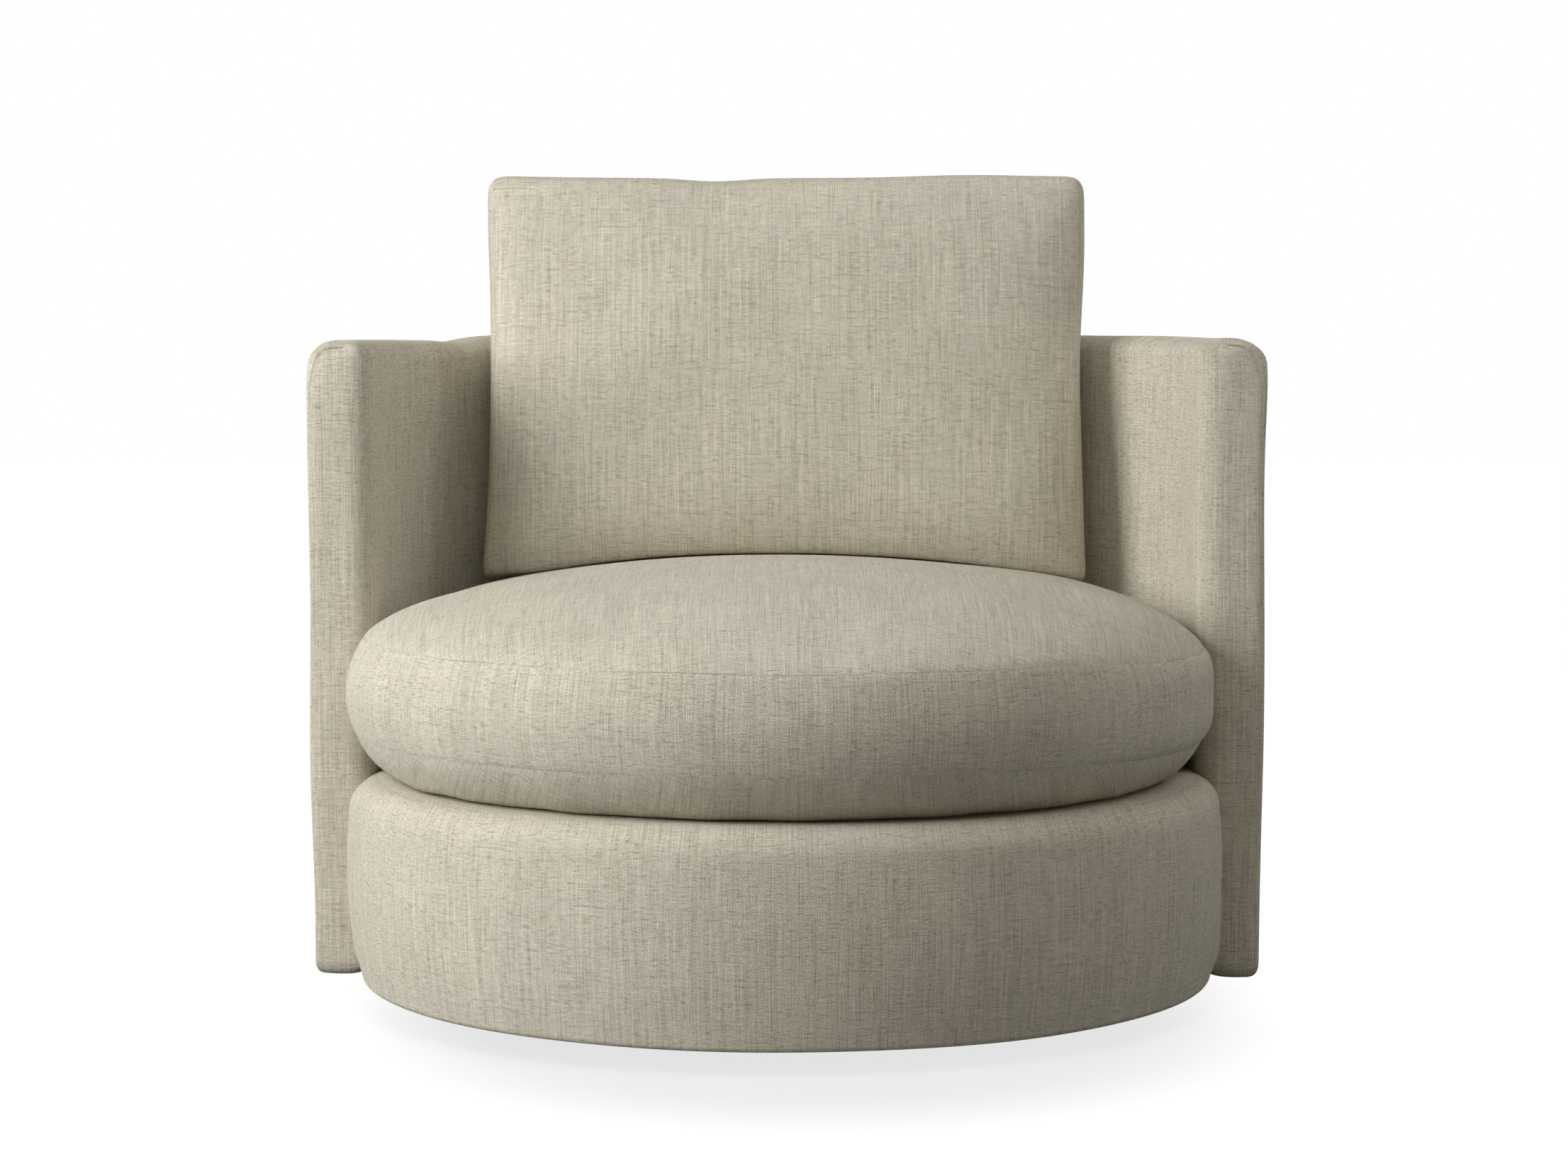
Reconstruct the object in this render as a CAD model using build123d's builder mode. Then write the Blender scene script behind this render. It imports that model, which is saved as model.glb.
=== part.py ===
from build123d import *

import os
from math import cos, radians, sin, sqrt, tan

# A round swivel lounge chair: an upholstered tub on a drum, a loose round seat cushion and a
# loose back cushion, turning on a ball-bearing plate over a recessed plinth.
# Millimetres. +Z is up, the swivel axis is the Z axis, the floor is Z = 0, the chair faces -Y.

# Overall sizes
shell_radius = 508.0  # outside of the tub's cover, half of the overall width
arm_height = 700.0  # floor to the top of the tub
wall_thickness = 70.0  # finished thickness of the tub's wall
arm_reach = 25.0  # how far the arm fronts stand ahead of the swivel axis
hem_height = 25.0  # floor to the hem of the covers
deck_height = 240.0  # floor to the top of the seat deck

# Upholstery layers
cover_thickness = 2.0
inside_foam_thickness = 19.0
outside_batting_thickness = 3.0
arm_pad_thickness = 20.0
top_pad_thickness = 12.0
top_round = 20.0  # edge round the top of the tub
outer_corner_ease = 2.0  # arm front's outer upright edge, rounder than the top by this much
inner_corner_ease = 10.0  # arm front's inner upright edge, rounder than the top by this much
outside_seam_drop = 4.0  # rounded top edge down to the outside cover's seam
seam_gap = 0.3  # room left between soft pieces that only touch

# Timber frame
board_thickness = 18.0
fibreboard_thickness = 3.0
apron_ply_thickness = 5.0
rail_height = 36.0
post_width = 40.0  # along the tub's wall
shell_post_count = 5
shell_post_first_angle = 18.0
drum_post_side = 45.0
drum_post_count = 8
drum_post_inset = 48.0  # drum's front edge in to the middle of a post
post_edge_round = 3.0
deck_ring_width = 85.0
drum_clearance = 3.0  # drum's edge to the tub's inner radius
joint_clearance = 0.2

# Floor plinth and swivel bearing
plinth_radius = 280.0
plinth_thickness = 21.0
plinth_edge_round = 3.0
plinth_well_room = 5.0  # round the king pin's head
floor_pad_thickness = 3.0
floor_pad_margin = 8.0
running_gap = 4.0  # plinth to the underside of the turning frame
plate_side = 300.0
plate_corner = 25.0
plate_thickness = 2.5
plate_hole_inset = 20.0
ball_radius = 4.76
ball_count = 12
ball_circle = 110.0
ball_clearance = 0.14
land_gap = 1.5  # ball centre to the land beside the groove
race_land = 10.0  # half the width of the raised race at its top
race_foot = 18.0  # half the width of the raised race at its foot
cage_thickness = 2.5
cage_half_width = 8.0
pin_radius = 8.0
pin_head_radius = 15.0
pin_head_height = 4.0
running_clearance = 0.05
axial_play = 0.3  # between pieces that turn on each other
bush_wall = 3.0
bush_shoulder = 2.0
nut_wall = 4.0  # pin to the nut's corners
nut_height = 8.0
washer_rim = 6.0  # nut's corners to the washer's edge
washer_thickness = 2.0
bearing_opening_room = 8.0  # round the plates' corners
swivel_board_lap = 60.0  # on the bottom panel
swivel_board_well_room = 6.0  # round the washer

# Fasteners
screw_radius = 2.2
screw_head_radius = 4.5
screw_head_height = 3.0
plinth_screw_grip = 14.0  # length in the plinth
board_screw_count = 6
board_screw_grip = 12.0  # length in the bottom panel
bolt_radius = 3.0
bolt_head_radius = 6.0
bolt_head_height = 4.0
tee_nut_wall = 1.3
tee_nut_depth = 10.0
tee_nut_flange = 5.6  # past the barrel
tee_nut_flange_thickness = 1.5
hole_clearance = 0.1

# Deck suspension
webbing_width = 60.0
webbing_thickness = 2.0
webbing_count = 5
webbing_landing = 38.0  # length of each end that lies on the deck ring
webbing_ramp = 6.0  # crossing's edge to the start of the climb
insulator_thickness = 3.0
deck_pad_thickness = 20.0

# Front apron
apron_foam_thickness = 19.0
apron_bulge = 3.0  # past the shoulder, at the widest
apron_hem_draw = 9.0  # shoulder in to the hem
apron_bulge_height = 120.0
apron_top_round = 32.0

# Dust cover
dust_cover_thickness = 1.0
dust_cover_margin = 8.0
dust_cover_opening_room = 10.0  # round the bottom panel's opening

# Seat cushion
seat_overhang = 28.0  # tub's inner radius out to the middle of the boxing, at the front
seat_seam_inset = 9.0  # boxing's bulge past its two seams
seat_lower_seam = 47.0  # above the deck
seat_boxing_height = 104.0
seat_crown_height = 79.0  # upper seam to the top of the crown
seat_crown_flat = 260.0  # radius where the crown starts to fall away
seat_crown_fall = 14.0
seat_belly_round = 35.0  # lower seam in to the flat that lies on the deck

# Back cushion
back_width = 662.0
back_height = 446.0
back_boxing = 80.0
back_crown = 52.0
back_recline = 8.0  # degrees from upright
back_clearance = 0.6  # rear corners to the tub's inside
back_rest_gap = 0.35  # lower edge to the seat's crown
back_corner = 22.0
back_side_draw = 6.0  # how far the sides pull in between the corners
back_top_draw = 4.0
back_crown_flat = 36.0  # height of the middle where the crown is full
back_crown_steps = 4
back_settle_steps = 6
back_bottom_draw = 38.0  # hollow of the lower edge, where it sits on the seat's crown

# Rounds of the tub's upright edges
outer_corner_round = top_round + outer_corner_ease
inner_corner_round = top_round + inner_corner_ease

# Radii of the tub's layers, from the outside in
batting_outer = shell_radius - cover_thickness
panel_outer = batting_outer - outside_batting_thickness
frame_outer = panel_outer - fibreboard_thickness
tub_inner = shell_radius - wall_thickness
foam_inner = tub_inner + cover_thickness
panel_inner = foam_inner + inside_foam_thickness
frame_inner = panel_inner + fibreboard_thickness

# Where the tub's layers end towards the front
cover_front = -arm_reach
pad_front = cover_front + cover_thickness
frame_front = pad_front + arm_pad_thickness
apron_end = cover_front - seam_gap

# Heights from the floor
plinth_top = floor_pad_thickness + plinth_thickness
bottom_panel_base = plinth_top + running_gap
bottom_panel_top = bottom_panel_base + board_thickness
bearing_height = bottom_panel_top - plinth_top
race_height = plinth_top + bearing_height / 2
swivel_board_top = bottom_panel_top + board_thickness
weave_gap = 0.3
webbing_stack = 2 * webbing_thickness + weave_gap
deck_cover_base = deck_height - cover_thickness
deck_pad_base = deck_cover_base - deck_pad_thickness
insulator_base = deck_pad_base - insulator_thickness
deck_ring_top = insulator_base - webbing_stack
deck_ring_base = deck_ring_top - board_thickness
pad_top = arm_height - cover_thickness
rail_top = pad_top - top_pad_thickness
rail_base = rail_top - rail_height
post_depth = sqrt(frame_outer**2 - (post_width / 2) ** 2) - frame_inner - joint_clearance
arm_post_depth = sqrt(frame_outer**2 - (frame_front + post_width) ** 2) - frame_inner - joint_clearance

# Radii of the drum's front, from the inside out
drum_front = tub_inner - drum_clearance
apron_ply_outer = drum_front + apron_ply_thickness
apron_shoulder_radius = apron_ply_outer + apron_foam_thickness + cover_thickness
apron_bulge_radius = apron_shoulder_radius + apron_bulge
apron_hem_radius = apron_shoulder_radius - apron_hem_draw
apron_lip = apron_shoulder_radius - apron_top_round  # inner edge of the apron's rolled top

# The drum's frame
drum_post_circle = drum_front - drum_post_inset
deck_opening_radius = drum_front - deck_ring_width
webbing_pitch = 2 * deck_opening_radius / (webbing_count + 1)

# Radii about the swivel axis
plate_hole_pitch = plate_side - 2 * plate_hole_inset
plate_reach = plate_side / sqrt(2) - plate_corner * (sqrt(2) - 1)
bearing_opening_radius = plate_reach + bearing_opening_room
swivel_board_radius = bearing_opening_radius + swivel_board_lap
board_screw_circle = bearing_opening_radius + swivel_board_lap / 2
dust_cover_opening_radius = bearing_opening_radius + dust_cover_opening_room
bush_neck_radius = pin_radius + bush_wall
bush_radius = bush_neck_radius + bush_shoulder
nut_radius = pin_radius + nut_wall
washer_radius = nut_radius + washer_rim
plinth_well_radius = pin_head_radius + plinth_well_room
swivel_board_well_radius = washer_radius + swivel_board_well_room
tee_nut_radius = bolt_radius + hole_clearance + tee_nut_wall
tee_nut_flange_radius = tee_nut_radius + tee_nut_flange

# The seat cushion's heights and radii
seat_lower_seam_height = deck_height + seat_lower_seam
seat_upper_seam_height = seat_lower_seam_height + seat_boxing_height
seat_crown_top = seat_upper_seam_height + seat_crown_height
seat_radius = tub_inner + seat_overhang
seat_seam_radius = seat_radius - seat_seam_inset

# The back cushion's place: its rear corners rest in the tub's mouth, its lower edge on the seat's crown
lean = radians(back_recline)
back_rim_y = sqrt((tub_inner - back_clearance) ** 2 - (back_width / 2 - back_side_draw) ** 2)
back_rise_to_rim = arm_height - seat_crown_top + back_bottom_draw
back_bottom_y = back_rim_y - back_boxing / 2 / cos(lean) - back_rise_to_rim * tan(lean)
back_crown_inset = (back_height - back_crown_flat) / 2

os.makedirs("parts", exist_ok=True)
pieces = []


def finish(piece, name):
    """Names a finished piece and keeps it for writing."""
    piece.label = name
    pieces.append(piece)
    return piece


def behind(line):
    """Cuts a sketch away in front of the line y = line."""
    with Locations((0, line)):
        Rectangle(4 * shell_radius, 4 * shell_radius, align=(Align.CENTER, Align.MAX), mode=Mode.SUBTRACT)


def c_wall(inner, outer, front, base, top):
    """Upright wall, C-shaped in plan and open to the front."""
    with BuildPart() as wall:
        with BuildSketch(Plane.XY.offset(base)):
            Circle(outer)
            Circle(inner, mode=Mode.SUBTRACT)
            behind(front)
        extrude(amount=top - base)
    return wall.part


def tub(inner, outer, front, top, shrink):
    """The tub's rounded block, whose rounds shrink with the layer that it is the outside of."""
    with BuildPart() as block:
        with BuildSketch(Plane.XY.offset(hem_height)) as plan:
            with Locations(Location((0, 0, 0), (0, 0, 90))):
                Circle(outer)
                Circle(inner, mode=Mode.SUBTRACT)
            behind(front)
            ends = plan.vertices().group_by(Axis.Y)[0].sort_by(Axis.X)
            fillet([ends[0], ends[-1]], outer_corner_round - shrink)
            ends = plan.vertices().group_by(Axis.Y)[0].sort_by(Axis.X)
            fillet([ends[1], ends[2]], inner_corner_round - shrink)
        extrude(amount=top - hem_height)
        fillet(block.faces().sort_by(Axis.Z)[-1].edges(), top_round - shrink)
    return block.part


def drum_plan(front_radius, rear_radius):
    """Plan of the drum: round in front, and out to the tub's wall behind the arm fronts."""
    with BuildSketch() as plan:
        Circle(rear_radius)
        behind(frame_front)
        Circle(front_radius)
    return plan.sketch


def drum_layer(front_radius, rear_radius, base, thickness, opening=0.0):
    """A flat layer of the drum's plan, with a round opening in its middle."""
    with BuildPart() as layer:
        with BuildSketch(Plane.XY.offset(base)):
            add(drum_plan(front_radius, rear_radius))
            if opening:
                Circle(opening, mode=Mode.SUBTRACT)
        extrude(amount=thickness)
    return layer.part


# Floor pad
with BuildPart() as floor_pad:
    with BuildSketch():
        Circle(plinth_radius - floor_pad_margin)
    extrude(amount=floor_pad_thickness)
finish(floor_pad.part, "floor_pad")

# Plinth, with a well for the king pin's head and pilot holes for the plate's screws
with BuildPart() as plinth:
    with BuildSketch(Plane.XY.offset(floor_pad_thickness)):
        Circle(plinth_radius)
        Circle(plinth_well_radius, mode=Mode.SUBTRACT)
    extrude(amount=plinth_thickness)
    rims = plinth.edges().filter_by(GeomType.CIRCLE).group_by(SortBy.RADIUS)[-1]
    fillet(rims, plinth_edge_round)
    with Locations(Plane.XY.offset(plinth_top)):
        with GridLocations(plate_hole_pitch, plate_hole_pitch, 2, 2):
            Hole(screw_radius + hole_clearance, plinth_screw_grip + hole_clearance)
finish(plinth.part, "plinth")


def bearing_plate(centre_hole, corner_hole):
    """Pressed square plate with a raised ball race, lying on the plinth with its race upwards."""
    land_height = race_height - land_gap
    hollow_height = plinth_top + plate_thickness + (race_height - ball_radius - plinth_top) / 4
    with BuildPart() as plate:
        with BuildSketch(Plane.XY.offset(plinth_top)):
            RectangleRounded(plate_side, plate_side, plate_corner)
        extrude(amount=plate_thickness)
        with BuildSketch(Plane.XZ):
            with BuildLine():
                Polyline(
                    (ball_circle - race_foot, plinth_top),
                    (ball_circle - race_land, land_height),
                    (ball_circle + race_land, land_height),
                    (ball_circle + race_foot, plinth_top),
                    close=True,
                )
            make_face()
        revolve(axis=Axis.Z)
        with BuildSketch(Plane.XZ):
            with BuildLine():
                Polyline(
                    (ball_circle - race_foot + plate_thickness, plinth_top),
                    (ball_circle - race_land, hollow_height),
                    (ball_circle + race_land, hollow_height),
                    (ball_circle + race_foot - plate_thickness, plinth_top),
                    close=True,
                )
            make_face()
            with Locations((ball_circle, race_height)):
                Circle(ball_radius + ball_clearance)
        revolve(axis=Axis.Z, mode=Mode.SUBTRACT)
        with Locations(Plane.XY.offset(plinth_top + plate_thickness)):
            Hole(centre_hole)
            with GridLocations(plate_hole_pitch, plate_hole_pitch, 2, 2):
                Hole(corner_hole)
    return plate.part


# Lower bearing plate, screwed to the plinth
finish(bearing_plate(pin_radius + running_clearance, screw_radius + hole_clearance), "lower_bearing_plate")

# Pan-head screws that hold the lower plate
with BuildPart() as plinth_screws:
    with BuildSketch(Plane.XY.offset(plinth_top + plate_thickness)):
        with GridLocations(plate_hole_pitch, plate_hole_pitch, 2, 2):
            Circle(screw_head_radius)
    extrude(amount=screw_head_height)
    with BuildSketch(Plane.XY.offset(plinth_top - plinth_screw_grip)):
        with GridLocations(plate_hole_pitch, plate_hole_pitch, 2, 2):
            Circle(screw_radius)
    extrude(amount=plinth_screw_grip + plate_thickness)
finish(plinth_screws.part, "plinth_screws")

# King pin, headed under the lower plate, on which the upper plate turns
washer_base = bottom_panel_top + axial_play
pin_top = washer_base + washer_thickness + nut_height
with BuildPart() as king_pin:
    with BuildSketch(Plane.XY.offset(plinth_top - pin_head_height)):
        Circle(pin_head_radius)
    extrude(amount=pin_head_height)
    with BuildSketch(Plane.XY.offset(plinth_top)):
        Circle(pin_radius)
    extrude(amount=pin_top - plinth_top)
finish(king_pin.part, "king_pin")

# Washer and nut on the king pin, in the swivel board's well
with BuildPart() as king_washer:
    with BuildSketch(Plane.XY.offset(washer_base)):
        Circle(washer_radius)
        Circle(pin_radius + running_clearance, mode=Mode.SUBTRACT)
    extrude(amount=washer_thickness)
finish(king_washer.part, "king_washer")

with BuildPart() as king_nut:
    with BuildSketch(Plane.XY.offset(washer_base + washer_thickness)):
        RegularPolygon(nut_radius, 6)
        Circle(pin_radius + running_clearance, mode=Mode.SUBTRACT)
    extrude(amount=nut_height)
finish(king_nut.part, "king_nut")

# Balls and their cage
with BuildPart(Plane.XY.offset(race_height)) as bearing_balls:
    with PolarLocations(ball_circle, ball_count):
        Sphere(ball_radius)
finish(bearing_balls.part, "bearing_balls")

with BuildPart() as ball_cage:
    with BuildSketch(Plane.XY.offset(race_height - cage_thickness / 2)):
        Circle(ball_circle + cage_half_width)
        Circle(ball_circle - cage_half_width, mode=Mode.SUBTRACT)
        with PolarLocations(ball_circle, ball_count):
            Circle(ball_radius + ball_clearance, mode=Mode.SUBTRACT)
    extrude(amount=cage_thickness)
finish(ball_cage.part, "ball_cage")

# Upper bearing plate, the lower one turned over
with BuildPart() as upper_bearing_plate:
    add(bearing_plate(bush_neck_radius + running_clearance, bolt_radius + hole_clearance))
    mirror(about=Plane.XY.offset(race_height), mode=Mode.REPLACE)
finish(upper_bearing_plate.part, "upper_bearing_plate")

# Nylon bush between the king pin and the upper plate
bush_base = plinth_top + plate_thickness + axial_play
with BuildPart() as pivot_bush:
    with BuildSketch(Plane.XY.offset(bush_base)):
        Circle(bush_radius)
    extrude(amount=bottom_panel_top - plate_thickness - bush_base)
    with BuildSketch(Plane.XY.offset(bottom_panel_top - plate_thickness)):
        Circle(bush_neck_radius)
    extrude(amount=plate_thickness)
    with Locations(Plane.XY.offset(bottom_panel_top)):
        Hole(pin_radius + running_clearance)
finish(pivot_bush.part, "pivot_bush")

# Bolts up through the upper plate into tee nuts on the swivel board
with BuildPart() as plate_bolts:
    with BuildSketch(Plane.XY.offset(bottom_panel_top - plate_thickness - bolt_head_height)):
        with GridLocations(plate_hole_pitch, plate_hole_pitch, 2, 2):
            RegularPolygon(bolt_head_radius, 6)
    extrude(amount=bolt_head_height)
    with BuildSketch(Plane.XY.offset(bottom_panel_top - plate_thickness)):
        with GridLocations(plate_hole_pitch, plate_hole_pitch, 2, 2):
            Circle(bolt_radius)
    extrude(amount=plate_thickness + board_thickness + tee_nut_flange_thickness)
finish(plate_bolts.part, "plate_bolts")

with BuildPart() as tee_nuts:
    with BuildSketch(Plane.XY.offset(swivel_board_top)):
        with GridLocations(plate_hole_pitch, plate_hole_pitch, 2, 2):
            Circle(tee_nut_flange_radius)
    extrude(amount=tee_nut_flange_thickness)
    with BuildSketch(Plane.XY.offset(swivel_board_top - tee_nut_depth)):
        with GridLocations(plate_hole_pitch, plate_hole_pitch, 2, 2):
            Circle(tee_nut_radius)
    extrude(amount=tee_nut_depth)
    with BuildSketch(Plane.XY.offset(swivel_board_top - tee_nut_depth)):
        with GridLocations(plate_hole_pitch, plate_hole_pitch, 2, 2):
            Circle(bolt_radius + hole_clearance)
    extrude(amount=tee_nut_depth + tee_nut_flange_thickness, mode=Mode.SUBTRACT)
finish(tee_nuts.part, "tee_nuts")

# Swivel board, which carries the turning frame on the upper plate
with BuildPart() as swivel_board:
    with BuildSketch(Plane.XY.offset(bottom_panel_top)):
        Circle(swivel_board_radius)
        Circle(swivel_board_well_radius, mode=Mode.SUBTRACT)
    extrude(amount=board_thickness)
    with Locations(Plane.XY.offset(swivel_board_top)):
        with GridLocations(plate_hole_pitch, plate_hole_pitch, 2, 2):
            CounterBoreHole(
                bolt_radius + hole_clearance, tee_nut_radius + hole_clearance, tee_nut_depth + hole_clearance
            )
        with PolarLocations(board_screw_circle, board_screw_count):
            CounterSinkHole(screw_radius + hole_clearance, screw_head_radius + hole_clearance)
finish(swivel_board.part, "swivel_board")

# Countersunk screws from the swivel board into the bottom panel
board_screw_cone = screw_head_radius - screw_radius
with BuildPart() as board_screws:
    with BuildSketch(Plane.XZ) as screw_half:
        with BuildLine():
            Polyline(
                (0, swivel_board_top),
                (screw_head_radius, swivel_board_top),
                (screw_radius, swivel_board_top - board_screw_cone),
                (screw_radius, bottom_panel_top - board_screw_grip),
                (0, bottom_panel_top - board_screw_grip),
                close=True,
            )
        make_face()
    screw = revolve(axis=Axis.Z, mode=Mode.PRIVATE)
    with PolarLocations(board_screw_circle, board_screw_count):
        add(screw)
finish(board_screws.part, "board_screws")

# Bottom panel, the turning frame's floor
with BuildPart() as bottom_panel:
    add(drum_layer(drum_front, frame_outer, bottom_panel_base, board_thickness, bearing_opening_radius))
    with Locations(Plane.XY.offset(bottom_panel_top)):
        with PolarLocations(board_screw_circle, board_screw_count):
            Hole(screw_radius + hole_clearance, board_screw_grip + hole_clearance)
finish(bottom_panel.part, "bottom_panel")

# Drum posts between the bottom panel and the deck ring
with BuildPart() as drum_posts:
    with BuildSketch(Plane.XY.offset(bottom_panel_top)):
        with PolarLocations(drum_post_circle, drum_post_count, start_angle=180 / drum_post_count):
            RectangleRounded(drum_post_side, drum_post_side, post_edge_round)
    extrude(amount=deck_ring_base - bottom_panel_top)
finish(drum_posts.part, "drum_posts")


def wall_post_sections(depth, grow):
    """Sections of the posts in the tub's wall, grown on all sides but the outer one."""
    with BuildSketch() as section:
        with PolarLocations(
            frame_inner - grow,
            shell_post_count,
            shell_post_first_angle,
            180 - 2 * shell_post_first_angle,
            endpoint=True,
        ):
            Rectangle(depth + grow, post_width + 2 * grow, align=(Align.MIN, Align.CENTER))
    return section.sketch


def arm_post_sections(depth, grow):
    """Sections of the two posts at the arm fronts, grown on all sides but the outer one."""
    with BuildSketch() as section:
        for side, inner_edge in ((-1, Align.MAX), (1, Align.MIN)):
            with Locations((side * (frame_inner - grow), frame_front + post_width / 2)):
                Rectangle(depth + grow, post_width + 2 * grow, align=(inner_edge, Align.CENTER))
    return section.sketch


# Posts of the tub's wall, from the bottom panel up to the top rail
with BuildPart() as shell_posts:
    with BuildSketch(Plane.XY.offset(bottom_panel_top)):
        add(wall_post_sections(post_depth, 0))
    extrude(amount=rail_base - bottom_panel_top)
finish(shell_posts.part, "shell_posts")

with BuildPart() as arm_posts:
    with BuildSketch(Plane.XY.offset(bottom_panel_top)):
        add(arm_post_sections(arm_post_depth, 0))
    extrude(amount=rail_base - bottom_panel_top)
finish(arm_posts.part, "arm_posts")

# Deck ring, with a notch for each post that is open to the ring's outer edge
with BuildPart() as deck_ring:
    add(drum_layer(drum_front, frame_outer, deck_ring_base, board_thickness, deck_opening_radius))
    with BuildSketch(Plane.XY.offset(deck_ring_base)):
        add(wall_post_sections(wall_thickness, joint_clearance))
        add(arm_post_sections(wall_thickness, joint_clearance))
    extrude(amount=board_thickness, mode=Mode.SUBTRACT)
finish(deck_ring.part, "deck_ring")

# Top rail and the boards that close the tub's wall
finish(c_wall(frame_inner, frame_outer, frame_front, rail_base, rail_top), "top_rail")
finish(c_wall(frame_outer, panel_outer, frame_front, bottom_panel_base, rail_top), "outside_panel")
finish(c_wall(panel_inner, frame_inner, frame_front, deck_ring_top, rail_top), "inside_panel")


def webbing_strap(offset_from_axis, high_first):
    """One strap along local X, at its own offset along local Y, woven over and under the straps it crosses."""
    half_length = sqrt(deck_opening_radius**2 - offset_from_axis**2) + webbing_landing
    low = deck_ring_top + webbing_thickness / 2
    high = low + webbing_thickness + weave_gap
    flat = webbing_width / 2 + webbing_ramp
    first_crossing = -(webbing_count - 1) / 2 * webbing_pitch
    line = [(-half_length, low)]
    for index in range(webbing_count):
        crossing = first_crossing + index * webbing_pitch
        level = high if (index % 2 == 0) == high_first else low
        line += [(crossing - flat, level), (crossing + flat, level)]
    line += [(half_length, low)]
    upper = [(x, z + webbing_thickness / 2) for x, z in line]
    lower = [(x, z - webbing_thickness / 2) for x, z in reversed(line)]
    with BuildPart() as strap:
        with BuildSketch(Plane.XZ.offset(-offset_from_axis)):
            with BuildLine():
                Polyline(*upper, *lower, close=True)
            make_face()
        extrude(amount=webbing_width / 2, both=True)
    return strap.part


# Elastic webbing, woven front to back and side to side across the deck opening
def webbing(turn, parity):
    """All the straps that run one way, turned about the swivel axis."""
    with BuildPart() as straps:
        for index in range(webbing_count):
            place = (index - (webbing_count - 1) / 2) * webbing_pitch
            add(webbing_strap(place, (index + parity) % 2 == 0).rotate(Axis.Z, turn))
    return straps.part


finish(webbing(0, 0), "webbing_crosswise")
finish(webbing(90, 1), "webbing_lengthwise")

# Deck: felt insulator, foam pad and deck cloth
deck_front = apron_lip - seam_gap
deck_rear = tub_inner - seam_gap
finish(drum_layer(deck_front, deck_rear, insulator_base, insulator_thickness), "deck_insulator")
finish(drum_layer(deck_front, deck_rear, deck_pad_base, deck_pad_thickness), "deck_pad")
finish(drum_layer(deck_front, deck_rear, deck_cover_base, cover_thickness), "deck_cover")

# Apron: a bent plywood front, its foam and its cover
with BuildPart() as apron_panel:
    with BuildSketch(Plane.XY.offset(bottom_panel_base)):
        Circle(apron_ply_outer)
        Circle(drum_front, mode=Mode.SUBTRACT)
        with Locations((0, apron_end)):
            Rectangle(
                4 * shell_radius, 4 * shell_radius, align=(Align.CENTER, Align.MIN), mode=Mode.SUBTRACT
            )
    extrude(amount=deck_ring_top - bottom_panel_base)
finish(apron_panel.part, "apron_panel")


def apron_section(shrink):
    """Upright section of the apron, from the hem over its rolled top to the lip on the deck."""
    shoulder_height = deck_height - apron_top_round
    with BuildSketch() as section:
        with BuildLine():
            face = ThreePointArc(
                (apron_hem_radius - shrink, hem_height),
                (apron_bulge_radius - shrink, apron_bulge_height),
                (apron_shoulder_radius - shrink, shoulder_height),
            )
            roll = TangentArc(face @ 1, (apron_lip, deck_height - shrink), tangent=face % 1)
            Polyline(
                roll @ 1,
                (apron_lip, deck_ring_top),
                (apron_ply_outer, deck_ring_top),
                (apron_ply_outer, hem_height),
                face @ 0,
            )
        make_face()
    return section.sketch


def apron_layer(section):
    """Turns an upright section round the drum's front, as far as the arm fronts."""
    with BuildPart() as layer:
        with BuildSketch(Plane.XZ):
            add(section)
        revolve(axis=Axis.Z)
        split(bisect_by=Plane.XZ.offset(-apron_end), keep=Keep.TOP)
    return layer.part


finish(apron_layer(apron_section(cover_thickness)), "apron_foam")
finish(apron_layer(apron_section(0) - apron_section(cover_thickness)), "apron_cover")

# The tub's padding, one rounded block that is cut into its pads
padding = tub(foam_inner, batting_outer, pad_front, pad_top, cover_thickness)
frame_front_plane = Plane.XZ.offset(-frame_front)
rail_top_plane = Plane.XY.offset(rail_top)

with BuildPart() as top_pad:
    add(padding)
    split(bisect_by=rail_top_plane, keep=Keep.TOP)
finish(top_pad.part, "top_pad")

with BuildPart() as arm_pads:
    add(padding)
    split(bisect_by=rail_top_plane, keep=Keep.BOTTOM)
    split(bisect_by=frame_front_plane, keep=Keep.TOP)
finish(arm_pads.part, "arm_pads")

with BuildPart() as inside_foam:
    add(padding)
    add(c_wall(foam_inner - 1, panel_inner, frame_front, deck_ring_top, rail_top), mode=Mode.INTERSECT)
finish(inside_foam.part, "inside_foam")

with BuildPart() as outside_batting:
    add(padding)
    add(c_wall(panel_outer, batting_outer + 1, frame_front, hem_height, rail_top), mode=Mode.INTERSECT)
finish(outside_batting.part, "outside_batting")

# The tub's covers: the outside back panel, and one piece over the inside, the top and the arm fronts
outside_seam = arm_height - top_round - outside_seam_drop
outside_front = cover_front + outer_corner_round + cover_thickness
finish(c_wall(batting_outer, shell_radius, outside_front, hem_height, outside_seam), "outside_cover")

with BuildPart() as inside_cover:
    add(tub(tub_inner, shell_radius, cover_front, arm_height, 0))
    add(padding, mode=Mode.SUBTRACT)
    add(c_wall(batting_outer, shell_radius + 1, outside_front, hem_height, outside_seam), mode=Mode.SUBTRACT)
    add(c_wall(tub_inner - 1, panel_inner, frame_front, hem_height, deck_ring_top), mode=Mode.SUBTRACT)
finish(inside_cover.part, "inside_cover")

# Dust cover under the bottom panel
dust_front = drum_front - dust_cover_margin
dust_rear = frame_outer - dust_cover_margin
dust_base = bottom_panel_base - dust_cover_thickness
finish(
    drum_layer(dust_front, dust_rear, dust_base, dust_cover_thickness, dust_cover_opening_radius), "dust_cover"
)


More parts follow.
